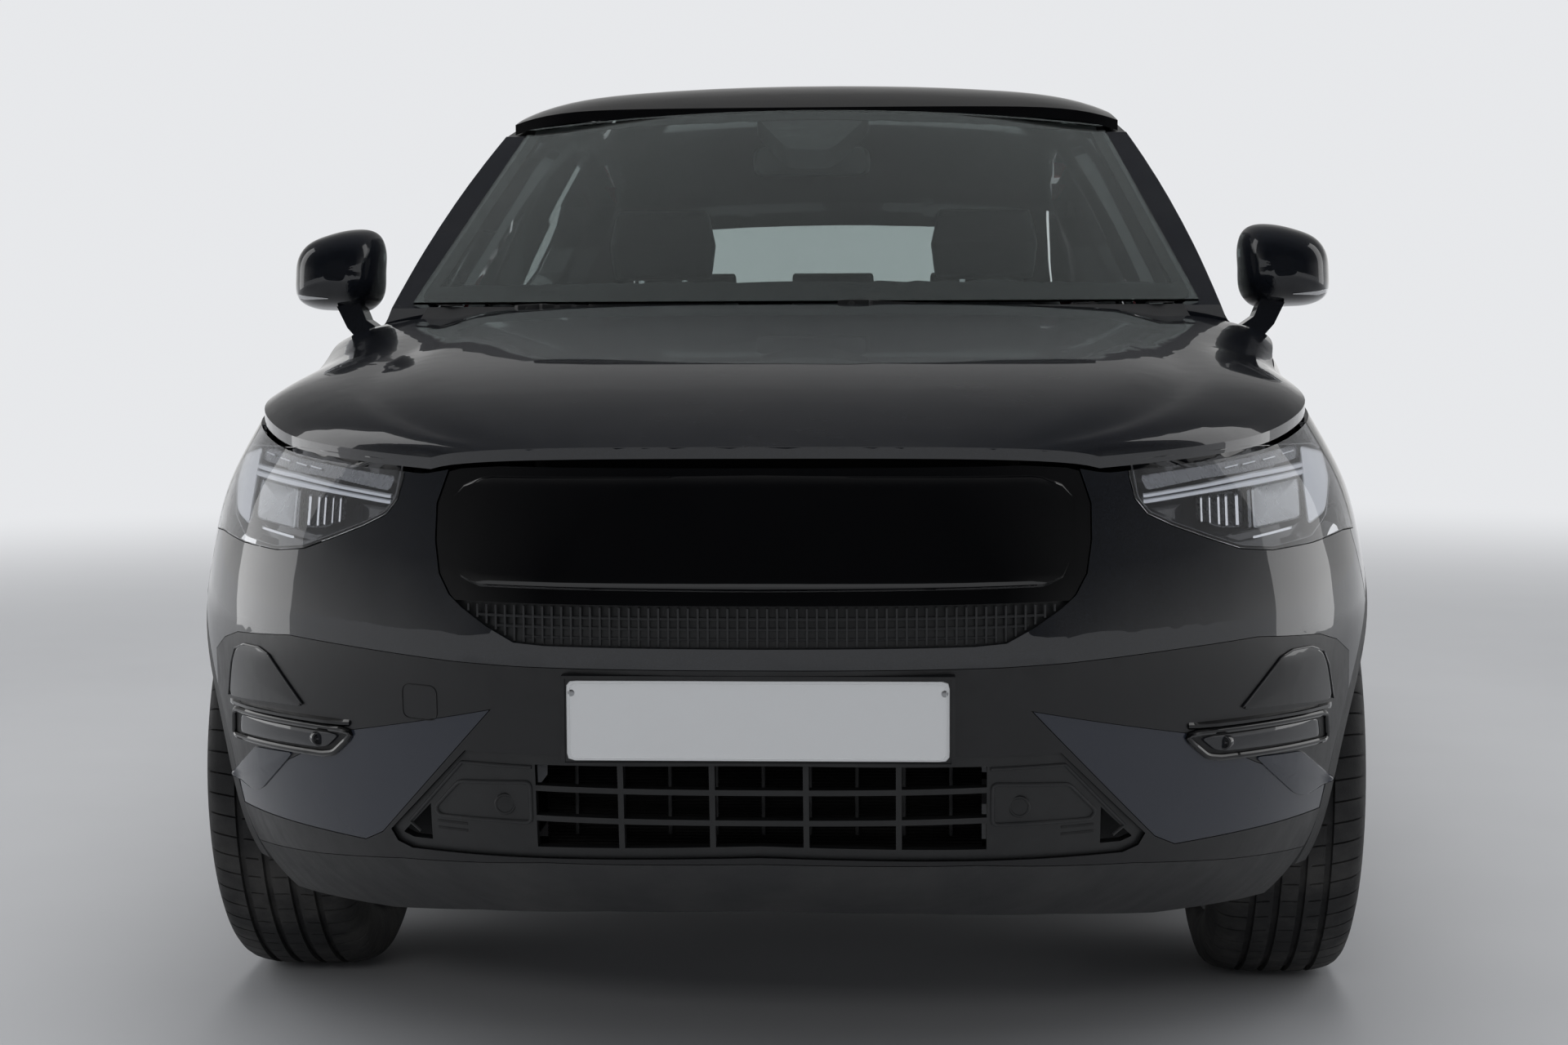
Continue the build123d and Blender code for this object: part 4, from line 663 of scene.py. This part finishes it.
def make_wheels():
    """Treaded tyres, five nuts and a plain centre cap on each wheel."""
    for place, y, radius, half in WHEELS:
        for hand, side in SIDES:
            body = f"wheel_{place}_{hand}"
            tyre_tread(f"tread_{place}_{hand}", f"tyre_{place}_{hand}", body, side, y, radius, half)
            face = WHEEL_X + half - .034
            cap = [(-.019, .0285), (-.003, .0292), (-.0005, .0275), (.0008, .022), (.0014, .008)]
            centre = (face, y, radius)
            add(turned(f"centre_cap_{place}_{hand}", cap, centre, (1, 0, 0), side=side), "gloss_black",
                body=body)
            nut = [(-.006, .0105), (.005, .0105), (.0075, .009), (.009, .004)]
            for k in range(WHEEL_NUTS):
                angle = TAU * (k + .5) / WHEEL_NUTS
                centre = (face - .001, y + NUT_CIRCLE * math.sin(angle),
                          radius + NUT_CIRCLE * math.cos(angle))
                add(turned(f"wheel_nut_{place}_{hand}_{k + 1}", nut, centre, (1, 0, 0), 6, side, crease=20),
                    "chrome", body)


# ---------------------------------------------------------------- front face
def make_grille():
    """Bevelled face of the closed panel, fine mesh in the slot below it, ribs and sensors of the intake."""
    us = np.linspace(-.428, .428, 61)
    top = np.interp(np.abs(us), (0, .38, .415, .428), (.884, .880, .868, .852))
    low = np.interp(np.abs(us), (0, .39, .415, .428), (.7285, .730, .742, .772))

    def face_rise(u, v):
        room = np.minimum(v - .726, .887 - v)
        return .001 + .005 * np.clip(room / .014, 0, 1) ** .6

    add(ribbon("grille_face", FRONT, level(us, low), level(us, top), face_rise, .001, count=21, bevel=.03),
        "gloss_black")
    xs = np.arange(-.402, .4021, .0134)
    low = np.interp(np.abs(xs), (0, .292, .336, .375, .412), (.6535, .6555, .6575, .680, .703))
    y = FRONT.at(xs, .68)[:, 1]
    lows = np.stack([xs - .0014, y + .004, low], 1)
    highs = np.stack([xs + .0014, y + .0095, np.full(xs.shape, .7065)], 1)
    wide = [(z, np.interp(z, (.654, .68, .7065), (.29, .372, .404))) for z in (.664, .678, .692)]
    runs = [spread([(-w, z), (w, z)], 41) for z, w in wide]
    add(blocks("slot_mesh", lows, highs), "matt_black")
    for k, run in enumerate(runs):
        path = FRONT.at(run[:, 0], .68, -.0065)
        path[:, 2] = run[:, 1]
        add(sweep(f"slot_rail_{k + 1}", path, circle(.0021, 6)), "matt_black")
    z = np.linspace(.346, .498, 2 * RADIATOR_TEETH + 1)
    deep = np.where(np.arange(len(z)) % 2, -2.086, -2.078)
    outline = np.concatenate([np.stack([deep, z], 1), [(-2.05, .498), (-2.05, .346)]])
    ends = np.linspace(-.305, .305, 3)
    grid = np.stack([np.broadcast_to(ends[:, None], (3, len(outline))),
                     np.broadcast_to(outline[:, 0], (3, len(outline))),
                     np.broadcast_to(outline[:, 1], (3, len(outline)))], -1)
    add(shell("radiator", grid, crease=20), "steel")
    for k, x in enumerate(np.linspace(-.262, .262, 9)):
        path = [(x, -2.094, .374), (x, -2.094, .496)]
        add(sweep(f"radiator_post_{k + 1}", spread(path, 5), circle(.003, 8), up=(0, 1, 0)), "matt_black")
    for hand, side in SIDES:
        tray = rounded([(.318, .460), (.424, .4535), (.4635, .411), (.456, .400), (.318, .402)], .007, 90)
        path = INTAKE.at(tray[:, 0], tray[:, 1], .0005)
        add(sweep(f"intake_rib_{hand}", path, circle(.0028, 8), up=(0, -1, 0), side=side, ring=True),
            "matt_black")
        top = along_skin(INTAKE, [(.315, .482), (.418, .482), (.505, .385), (.488, .372)], 60, .0005)
        add(sweep(f"intake_edge_{hand}", top, circle(.0025, 8), up=(0, -1, 0), side=side), "matt_black")
        spot = INTAKE.at(.355, .4265, .0025)
        disc = [(-.004, .0150), (.0012, .0150), (.0022, .0140), (.0022, .0120), (.0014, .0112), (.0018, .003)]
        add(turned(f"park_sensor_{hand}", disc, spot, (0, -1, 0), side=side), "moulded_dark")
        for k, z in enumerate((.3915, .3815)):
            slot = rounded([(.412, z - .0018), (.412, z + .0018), (.462, z + .0018), (.462, z - .0018)],
                           .001, 24)
            # painted shade: dark plates on the intake surface stand for the open slots
            add(plate(f"intake_slot_shade_{k + 1}_{hand}", INTAKE, slot, .0006, .002, .05, side), "black_and_painted_shade")


def make_corners():
    """Raised corner panel, shelf, fog lamp in its bezel, and the slanted vane below, on each side."""
    for hand, side in SIDES:
        fin = rounded([(.838, .521), (.826, .577), (.815, .602), (.793, .611), (.762, .611), (.742, .603),
                       (.676, .533), (.74, .530)], .012, 100)
        add(plate(f"corner_panel_{hand}", FRONT, fin, .0035, .003, .03, side, crown=.002), "gloss_black")
        path = along_skin(FRONT, [(.838, .523), (.826, .577), (.816, .600), (.794, .610), (.762, .610),
                                  (.742, .602),
                                  (.680, .537)], 90, .0025)
        add(sweep(f"corner_line_{hand}", path, circle(.0017, 8), up=(0, -1, 0), side=side), "gloss_grey")
        us = np.linspace(.835, .597, 50)
        lower = np.interp(us, (.597, .61, .75, .835), (.514, .513, .510, .507))
        add(ribbon(f"corner_shelf_{hand}", FRONT, level(us, lower), level(us, lower + .011),
                   lambda u, v: .002 + .009 * np.clip((u - .59) / .05, 0, 1) * np.clip((.84 - u) / .05, 0, 1),
                   .002, side, 7, .3), "gloss_black")
        bezel = rounded([(.824, .504), (.80, .505), (.612, .509), (.594, .506), (.601, .496), (.627, .472),
                         (.648, .467), (.829, .462)], .007, 120)
        path = FRONT.at(bezel[:, 0], bezel[:, 1], .002)
        add(sweep(f"fog_bezel_{hand}", path, circle(.0052, 10), up=(0, -1, 0), side=side, ring=True),
            "gloss_black")
        # painted shade: a dark plate inside the bezel stands for the recess behind the fog lens
        add(plate(f"fog_recess_shade_{hand}", FRONT, bezel, .0006, .002, .03, side), "black_and_painted_shade")
        lens = rounded([(.812, .499), (.63, .502), (.612, .500), (.634, .480), (.652, .476), (.818, .469)],
                       .006, 90)
        add(plate(f"fog_lens_{hand}", FRONT, lens, .004, .002, .05, side, crown=.003), "smoked")
        ring = [(-.002, .0105), (.0095, .0105), (.0105, .0098), (.0105, .0082), (.0085, .0076), (.0075, .004),
                (.009, .002)]
        spot = FRONT.at(.656, .4895)
        add(turned(f"fog_sensor_{hand}", ring, spot, (-.45, -.89, 0), side=side), "gloss_grey")
        vane = rounded([(.782, .455), (.700, .461), (.775, .386), (.797, .379), (.850, .392)], .009, 90)
        add(plate(f"corner_vane_{hand}", FRONT, vane, .0035, .003, .05, side, crown=.003), "gloss_blue")
    cover = rounded([(-.506, .539), (-.506, .588), (-.452, .588), (-.452, .539)], .012, 60)
    path = FRONT.at(cover[:, 0], cover[:, 1], .0002)
    add(sweep("tow_eye_cover_line", path, circle(.0009, 6), up=(0, -1, 0), ring=True), "black_and_painted_shade")


def make_plate():
    """Blank front number plate: a thin rounded sheet with a raised rim, two screws in its upper corners."""
    flat, z = Flat(1, 1, -2.2189), .555
    w, h = PLATE_HALF
    outline = rounded([(-w, z - h), (-w, z + h), (w, z + h), (w, z - h)], .009, 160)
    add(plate("number_plate_front", flat, outline, .0012, .0008, .008), "plate_white", "root")
    path = flat.at(outline[:, 0] * .985, z + (outline[:, 1] - z) * .94, .0014)
    add(sweep("plate_rim_front", path, circle(.0008, 6), up=(0, 1, 0), ring=True), "plate_white",
        "root")
    for k, x in enumerate((-.252, .252)):
        screw = [(0, .0048), (.0008, .0044), (.0012, .0025)]
        spot = flat.at(x, z + .038, .0010)
        add(turned(f"plate_screw_front_{k + 1}", screw, spot, (0, -flat.heading, 0), 16), "steel_bright",
            "root")


# ---------------------------------------------------------------- lamps
def make_headlamps():
    """Insides of each headlamp behind its clear lens: open housing, light bars lying in a T, reflectors,
    slats and small strips. Every height is measured back from the inside of the lens."""
    edge = rounded([(.512, .896), (.70, .906), (.818, .898), (.838, .884), (.842, .846), (.828, .795),
                    (.798, .768), (.729, .7605),
                    (.676, .7675), (.624, .787), (.573, .8065), (.538, .823), (.521, .843)], .006, 120)
    middle = np.array([.69, .84])
    for hand, side in SIDES:
        share = np.array([.04, 1, 1, .985, .975, .96, .6, .04])
        deep = np.array([-.062, -.062, -.0012, -.0012, -.035, -.047, -.050, -.050])
        ring = middle + (edge - middle) * share[:, None, None]
        bowl = add(shell(f"lamp_bowl_{hand}", LAMP_BACK.at(ring[..., 0], ring[..., 1], deep[:, None]), side),
                   "smoked")
        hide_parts("headlamp_housings")

        def place(name, outline, rise, finish_name, deep=.003, edge=.04, corner=.004, crown=0.0, steps=7):
            ring = rounded(outline, corner, 90)
            add(plate(f"{name}_{hand}", LAMP_BACK, ring, rise, deep - rise, edge, side, steps, crown),
                finish_name)

        place("lamp_upper", [(.527, .872), (.60, .878), (.70, .888), (.786, .900), (.790, .880), (.70, .868),
                             (.62, .862), (.536, .851)], -.014, "lamp_grey", .004, .05, .006)
        us = np.linspace(.530, .806, 60)
        low = np.interp(us, (.536, .614, .699, .788, .806), (.8335, .841, .8475, .8555, .858))
        high = np.interp(us, (.536, .62, .701, .791, .806), (.8475, .856, .867, .8735, .876))
        mid = low + .52 * (high - low)
        for name, a, b in (("light_bar_low", low, mid - .0009), ("light_bar_high", mid + .0009, high)):
            add(ribbon(f"{name}_{hand}", LAMP_BACK, level(us, a), level(us, b), -.003, .018, side, 5, .2),
                "light_guide")
        place("light_pillar", [(.790, .897), (.838, .884), (.842, .846), (.828, .800), (.792, .783),
                               (.788, .84)],
              -.0025, "light_guide", .014, .06, .01, .001)
        place("reflector_outer", [(.699, .846), (.784, .853), (.782, .795), (.70, .787)], -.012,
              "steel_bright", .018, .08,
              .006, -.018)
        place("reflector_inner", [(.612, .839), (.686, .843), (.684, .790), (.648, .792), (.612, .806)],
              -.026,
              "lamp_grey", .006, .06, .006, -.008)
        for k, (x, wide) in enumerate(((.618, .0035), (.631, .0028), (.645, .004), (.657, .0045),
                                       (.674, .006))):
            low_z = .792 + .010 * max(0, .66 - x) / .045
            place(f"slat_{k + 1}", [(x - wide / 2, .838), (x + wide / 2, .839), (x + wide / 2, low_z),
                                    (x - wide / 2, low_z)], -.014, "chrome", .012, .12, .001, .001, 3)
        place("divider", [(.690, .845), (.6955, .845), (.6955, .788), (.690, .788)], -.006, "lamp_grey", .03,
              .1,
              .001)
        place("low_strip", [(.697, .7745), (.697, .7785), (.764, .7865), (.764, .7825)], -.0025, "chrome",
              .006, .1,
              .001)
        for k, (x, z) in enumerate(((.668, .8765), (.697, .8795), (.732, .8835), (.768, .889))):
            place(f"lens_mark_{k + 1}", [(x - .011, z - .0019), (x - .011, z + .0001), (x + .011, z + .0032),
                                         (x + .011, z + .0012)], -.008, "light_guide", .004, .1, .0004, 0, 3)


def make_tail_lamps():
    """Bright inner lines of the tail lamps, low reflectors, the gate's release strip and the diffuser's lip."""
    for hand, side in SIDES:
        path = along_skin(REAR, [(.662, .735), (.668, .80), (.70, .90), (.705, .985), (.70, 1.035)], 60,
                          .0022)
        add(sweep(f"tail_line_{hand}", path, circle(.0045, 10, .5), up=(0, 1, 0), side=side), "lamp_bright")
        path = along_skin(REAR, [(.700, .895), (.76, .902), (.80, .912)], 30, .0022)
        add(sweep(f"tail_branch_{hand}", path, circle(.0035, 10, .5), up=(0, 1, 0), side=side), "lamp_bright")
        us = np.linspace(.56, .74, 30)
        add(ribbon(f"low_reflector_{hand}", REAR, level(us, .446), level(us, .466), .003, .002, side),
            "lamp_bright")
    us = np.linspace(-.17, .17, 24)
    add(ribbon("release_strip", REAR, level(us, .925), level(us, .943), .004, .002), "gloss_black",
        "tailgate_body")
    us = np.linspace(-.44, .44, 60)
    add(ribbon("diffuser_lip", REAR, level(us, .330), level(us, .352), .006, .002, bevel=.3), "gloss_black")


# ---------------------------------------------------------------- glass, mirrors and wipers
def make_mirrors():
    """Indicator strip, reflecting glass and a dark inner face of each door mirror."""
    for hand, side in SIDES:
        body = f"door_front_{hand}_body"
        us = np.linspace(.938, 1.0125, 30)
        low = np.interp(us, (.938, .99, 1.0125), (1.1265, 1.125, 1.1315))
        high = np.interp(us, (.938, .99, 1.0125), (1.1285, 1.1335, 1.1385))
        add(ribbon(f"mirror_indicator_{hand}", MIRROR_FRONT, level(us, low), level(us, high), .0018, .001,
                   side, 5),
            "indicator", body)
        outline = rounded(np.array([(.846, 1.236), (.862, 1.258), (.900, 1.264), (.955, 1.253), (.996, 1.233),
                                    (1.014, 1.205), (1.019, 1.165), (1.014, 1.125), (.985, 1.108),
                                    (.930, 1.103),
                                    (.872, 1.106), (.850, 1.130), (.844, 1.180)]), .02, 100)
        middle = outline.mean(0)
        add(plate(f"mirror_glass_{hand}", Flat(1, -1, -.5198), middle + (outline - middle) * .86, .0012,
                  -.0001, .03,
                  side), "mirror_silver", body)
        path = np.insert(middle + (outline - middle) * .91, 1, -.5198, axis=1)
        add(sweep(f"mirror_rim_{hand}", path, circle(.004, 8), up=(0, 1, 0), side=side, ring=True),
            "moulded_dark",
            body)


def make_glazing():
    """Dark printed border and sensor housing behind the windscreen, the inside mirror and the wipers."""
    count = 81
    us = np.linspace(-.715, .715, count)
    columns = np.searchsorted(SCREEN.u, np.abs(us)).clip(0, len(SCREEN.u) - 1)
    met = SCREEN.met[columns]
    base = SCREEN.v[met.argmax(1)] + .004
    roof = SCREEN.v[met.shape[1] - 1 - met[:, ::-1].argmax(1)] - .004
    add(ribbon("screen_print_low", SCREEN, level(us, base), level(us, base + .05), -.0068, .0078, bevel=.01),
        "black_and_painted_shade")
    near = np.abs(us) < .59
    add(ribbon("screen_print_high", SCREEN, level(us[near], roof[near] - .028), level(us[near], roof[near]),
               -.0068,
               .0078, bevel=.01), "black_and_painted_shade")
    vs = np.linspace(-.80, -.20, 60)
    rows = np.searchsorted(SCREEN.v, vs).clip(0, len(SCREEN.v) - 1)
    met = SCREEN.met[:, rows].T
    edge = SCREEN.u[met.shape[1] - 1 - met[:, ::-1].argmax(1)] - .006
    edge = np.convolve(np.pad(edge, 3, mode="edge"), np.ones(7) / 7, mode="valid")
    for hand, side in SIDES:
        one, other = np.stack([edge - .026, vs], 1), np.stack([edge, vs], 1)
        add(ribbon(f"screen_print_{hand}", SCREEN, one, other, -.0068, .0078, side, bevel=.01), "black_and_painted_shade")
    hood = rounded([(-.118, -.232), (.118, -.232), (.112, -.30), (.062, -.395), (.04, -.425), (-.04, -.425),
                    (-.062, -.395), (-.112, -.30)], .03, 90)
    add(plate("sensor_housing", SCREEN, hood, -.008, .045, .02), "moulded_dark")
    glass = rounded([(-.12, 1.372), (-.12, 1.43), (.12, 1.43), (.12, 1.372)], .022, 90)
    add(plate("inside_mirror", Flat(1, 1, -.335), glass, .012, .012, .06, crown=.004), "moulded_dark")
    glass_foot = SCREEN.v[SCREEN.met.argmax(1)]

    def resting(xs, ahead, rise):
        """Points ahead of the glass's lower edge, that far above the scuttle."""
        across = np.abs(xs)
        y = np.interp(across, SCREEN.u, glass_foot) - ahead
        return np.stack([xs, y, np.interp(across, (0, .3, .5, .6), (1.100, 1.099, 1.094, 1.089)) + rise], 1)

    for name, pivot, reach in (("right", -.50, .50), ("left", .105, .45)):
        xs = np.linspace(pivot + .06, pivot + reach, 30)
        size = np.interp(np.linspace(0, 1, 30), (0, .04, .96, 1), (.4, 1, 1, .4))
        rubber = [(-.002, -.005), (.002, -.005), (.0055, .001), (.0035, .0045), (-.0035, .0045),
                  (-.0055, .001)]
        add(sweep(f"wiper_blade_{name}", resting(xs, .009, .006), rubber, size=size), "moulded_dark")
        arm = resting(np.linspace(pivot + .03, pivot + .28, 24), .010, np.linspace(.0155, .007, 24))
        add(sweep(f"wiper_arm_{name}", arm, [(-.007, -.003), (.007, -.003), (.006, .003), (-.006, .003)],
                  size=np.linspace(1.2, .5, 24), crease=20), "moulded_dark")
        head = resting(np.linspace(pivot - .035, pivot + .04, 12), .011, .0155)
        block = rounded([(-.008, -.006), (.008, -.006), (.008, .006), (-.008, .006)], .003, 20)
        size = np.interp(np.linspace(0, 1, 12), (0, .12, .7, 1), (.75, 1, 1, .6))
        add(sweep(f"wiper_head_{name}", head, block, size=size), "moulded_dark")
        shaft = [(-.016, .010), (.006, .010), (.010, .008), (.012, .003)]
        add(turned(f"wiper_pivot_{name}", shaft, resting(np.array([pivot - .01]), .012, .008)[0], (0, 0, 1),
                   24),
            "moulded_dark")


def make_trim():
    """Window mouldings, pillar covers and the roof's aerial fin."""
    for hand, side in SIDES:
        one = spread([(-.700, 1.066), (.17, 1.0865)], 60)
        add(ribbon(f"belt_front_{hand}", FLANK, one, one + (0, .013), .003, .002, side, 5, .2),
            "gloss_black", body=f"door_front_{hand}_body")
        one = spread([(.20, 1.0875), (.70, 1.107), (.985, 1.134)], 60)
        add(ribbon(f"belt_rear_{hand}", FLANK, one, one + (0, .013), .003, .002, side, 5, .2), "gloss_black",
            body=f"door_rear_{hand}_body")
        for name, y0, y1, body in (("front", .140, .176, "door_front"), ("rear", .1885, .221, "door_rear")):
            z = np.linspace(1.102, 1.440, 30)
            one, other = np.stack([np.full(30, y0), z], 1), np.stack([np.full(30, y1), z], 1)
            add(ribbon(f"pillar_cover_{name}_{hand}", FLANK, one, other, .0018, .002, side, 5, .06),
                "gloss_black", body=f"{body}_{hand}_body")
    t = np.linspace(0, 1, 24)
    tall = .058 * np.sin(np.pi * np.clip(t * .62, 0, 1)) ** 1.3
    tall[-1] = tall[-2] * .97
    wide = .030 * np.sqrt(np.clip(1 - (1 - t) ** 2.2, 0, 1)) * (1 - .35 * t ** 3) + .002
    angle = np.linspace(-np.pi / 2, np.pi / 2, 15)
    y = 1.16 + .15 * t
    base = ROOF.at(0.0, y)[:, 2] - .004
    grid = np.stack([wide[:, None] * np.sin(angle), np.broadcast_to(y[:, None], (24, 15)),
                     base[:, None] + tall[:, None] * np.cos(angle) ** .8], -1)
    add(shell("aerial_fin", grid), "roof_black")


# ---------------------------------------------------------------- cabin
def pad(name, path, halves, thick, node, x=0.0, bolster=0.0, channels=()):
    """Crowned closed cushion along a (y, z) path: rings are rounded oblongs that shrink in width and height
    at the ends, with raised side bolsters (height times the fourth power of the place across) and sewn channels
    (a narrow bell-shaped dip at each channel's share of the path)."""
    rows, columns = 64, 64
    path = spread(path, rows)
    t = np.linspace(0, 1, rows)
    end = (1 - np.abs(2 * t - 1) ** 9) ** .5
    end[[0, -1]] = .12
    half = np.interp(t, np.linspace(0, 1, len(halves)), halves) * (.93 + .07 * end)
    deep = np.interp(t, np.linspace(0, 1, len(thick)), thick) * np.maximum(end, .12)
    angle = TAU * np.arange(columns) / columns
    across = np.sign(np.cos(angle)) * np.abs(np.cos(angle)) ** .45
    up = np.sign(np.sin(angle)) * np.abs(np.sin(angle)) ** .7
    front = np.clip(up, 0, 1)
    rise = deep[:, None] * up + bolster * (np.abs(across) ** 5 * front)[None] * end[:, None]
    dips = sum(np.exp(-((t - c) / .012) ** 2) for c in channels) if channels else np.zeros(rows)
    inner = np.clip(1.2 - 1.6 * np.abs(across), 0, 1)
    rise -= .007 * dips[:, None] * (front * np.maximum(inner, .15))[None]
    seam = np.exp(-((np.abs(across) - .66) / .03) ** 2) * front
    rise -= .006 * seam[None] * end[:, None] * (bolster > 0)
    ahead = np.gradient(path, axis=0)
    ahead /= np.linalg.norm(ahead, axis=1, keepdims=True)
    normal = np.stack([-ahead[:, 1], ahead[:, 0]], 1)
    grid = np.stack([x + half[:, None] * across, path[:, :1] + normal[:, :1] * rise,
                     path[:, 1:] + normal[:, 1:] * rise], -1)
    piece = add(shell(name, grid, crease=70), "trim_cloth")
    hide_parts(node)
    return grid


def stitching(name, grid, column):
    """Pale thread that follows one column of a cushion's grid, a little proud of it."""
    path = grid[4:-4, column]
    out = path - grid[4:-4].mean(1)
    out[:, 0] = 0
    out /= np.linalg.norm(out, axis=1, keepdims=True)
    add(sweep(name, path + out * .0012, circle(.0016, 6), up=(1, 0, 0)), "thread")


def make_seats():
    """Front seats, rear bench and their head restraints as padded pieces on plastic bases."""
    for hand, side in SIDES:
        x = .37 * side
        grid = pad(f"front_cushion_{hand}", [(-.330, .578), (-.12, .548), (.15, .520)], (.235, .25, .24),
                   (.055, .058, .05), "front_seats", x=x, bolster=.028, channels=(.25, .5, .75))
        grid = pad(f"front_backrest_{hand}", [(.205, .560), (.235, .78), (.290, 1.02), (.305, 1.135)],
                   (.225, .248, .225, .17), (.05, .058, .048, .035), "front_seats", x=x, bolster=.03,
                   channels=(.2, .38, .56, .74))
        for k, column in enumerate((10, 22)):
            stitching(f"backrest_thread_{hand}_{k + 1}", grid, column)
        pad(f"front_headrest_{hand}", [(.293, 1.165), (.30, 1.25), (.302, 1.325)], (.112, .122, .105),
            (.034, .042, .034), "front_seats", x=x)
        for k, dx in enumerate((-.05, .05)):
            post = [(x + dx, .297, 1.10), (x + dx, .299, 1.19)]
            add(sweep(f"headrest_post_{hand}_{k + 1}", spread(post, 4), circle(.0065, 12), up=(0, 1, 0)),
                "chrome")
        shoe = rounded([(-.335, .345), (-.335, .50), (.17, .475), (.175, .345)], .05, 80)
        rows = np.linspace(x - .2, x + .2, 5)
        grid = np.stack([np.broadcast_to(rows[:, None], (5, 80)), np.broadcast_to(shoe[:, 0], (5, 80)),
                         np.broadcast_to(shoe[:, 1], (5, 80))], -1)
        base = add(shell(f"front_seat_base_{hand}", grid, crease=40), "cabin_plastic")
        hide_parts("front_seats")
        for k, dx in enumerate((-.18, .18)):
            low = np.array([(x + dx - .02, -.33, .3125)])
            rail = add(blocks(f"seat_rail_{hand}_{k + 1}", low, low + (.04, .5, .035)), "steel")
            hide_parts("front_seats")
    for k, x in enumerate((-.40, 0.0, .40)):
        half = .2 if x else .195
        pad(f"rear_cushion_{k + 1}", [(.475, .505), (.70, .487), (.955, .470)], (half,) * 3,
            (.06, .066, .055),
            "rear_seat", x=x, bolster=.012 if x else .006, channels=(.35, .7))
        pad(f"rear_backrest_{k + 1}", [(.905, .545), (.955, .80), (1.008, 1.055)], (half,) * 3,
            (.05, .055, .045),
            "rear_seat", x=x, bolster=.012 if x else .006, channels=(.35, .7))
    for k, (x, half) in enumerate(((-.37, .12), (0.0, .105), (.37, .12))):
        pad(f"rear_headrest_{k + 1}", [(.998, 1.075), (1.003, 1.13), (1.005, 1.188)], (half,) * 3,
            (.03, .036, .03), "rear_seat", x=x)
    base = add(blocks("rear_seat_base", [(-.59, .52, .3125)], [(.59, .984, .42)]), "cabin_plastic")
    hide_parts("rear_seat")


def make_dashboard():
    """Portrait screen, driver's display, upright vents and an armrest on each front door."""
    face = Flat(1, -1, -.478)
    screen = rounded([(-.095, .78), (-.095, 1.005), (.095, 1.005), (.095, .78)], .012, 80)
    add(plate("centre_screen", face, screen, .012, .01, .03), "screen_glass")
    display = rounded([(.25, .985), (.25, 1.075), (.49, 1.075), (.49, .985)], .012, 80)
    add(plate("driver_display", Flat(1, -1, -.505), display, .008, .02, .03), "screen_glass")
    for k, x in enumerate((-.60, -.13, .13, .60)):
        vent = rounded([(x - .022, .80), (x - .022, .985), (x + .022, .985), (x + .022, .80)], .012, 60)
        add(plate(f"vent_{k + 1}", face, vent, .006, .01, .08), "lamp_grey")
        zs = np.linspace(.815, .97, 9)
        lows = np.stack([np.full(9, x - .017), np.full(9, -.474), zs - .002], 1)
        add(blocks(f"vent_blades_{k + 1}", lows, lows + (.034, .006, .004)), "black_and_painted_shade")
    for hand, side in SIDES:
        ys = np.linspace(-.55, .04, 40)
        one, other = level(ys, .62), level(ys, .70)
        add(ribbon(f"armrest_front_{hand}", DOOR_IN, one, other, .035, .002, side, 9, .25), "cabin_plastic",
            body=f"door_front_{hand}_body")


# ---------------------------------------------------------------- build
make_groups()
MATERIALS = make_materials()
OWN_FINISH = {"front_blades": "gloss_blue", "front_lower_trim": "satin_black",
              "front_grilles": "moulded_dark"}
for row in frame["record"]["subparts"]:
    mesh = NODES[row["node"]].data
    mesh.materials.clear()
    mesh.materials.append(MATERIALS[OWN_FINISH.get(row["node"], row["material_slot"])])

FRONT = Skin(["front_bumper", "front_lower_trim", "front_skirt", "front_blades", "headlamp_lenses",
              "grille_panel"],
             1, 1, (0, .95), (.24, .93))
INTAKE = Skin(["front_grilles"], 1, 1, (0, .55), (.33, .53))
LAMP_BACK = Skin(["headlamp_lenses"], 1, -1, (.49, .95), (.74, .93))
LAMP_BACK.heading = 1  # found from behind, then read from outside: heights below zero lie in the lamp
MIRROR_FRONT = Skin(["mirror_left"], 1, 1, (.90, 1.026), (1.09, 1.27), .003)
SCREEN = Skin(["windscreen"], 2, -1, (0, .76), (-.93, -.15))
ROOF = Skin(["roof_panel"], 2, -1, (0, .1), (-.2, 1.46), .02)
REAR = Skin(["rear_bumper", "rear_skirt", "tailgate", "tail_lamps", "body_sides"], 1, -1, (0, .93),
            (.24, 1.1), .008)
FLANK = Skin(["door_front_left", "door_rear_left"], 0, -1, (-.8, 1.15), (.9, 1.5), .01)
DOOR_IN = Skin(["door_front_left"], 0, 1, (-.7, .1), (.4, .9), .02, start=-.5)

make_stage()
make_camera()
make_wheels()
make_grille()
make_corners()
make_plate()
make_headlamps()
make_tail_lamps()
make_mirrors()
make_glazing()
make_trim()
make_seats()
make_dashboard()
bpy.context.scene.view_settings.view_transform = "Standard"
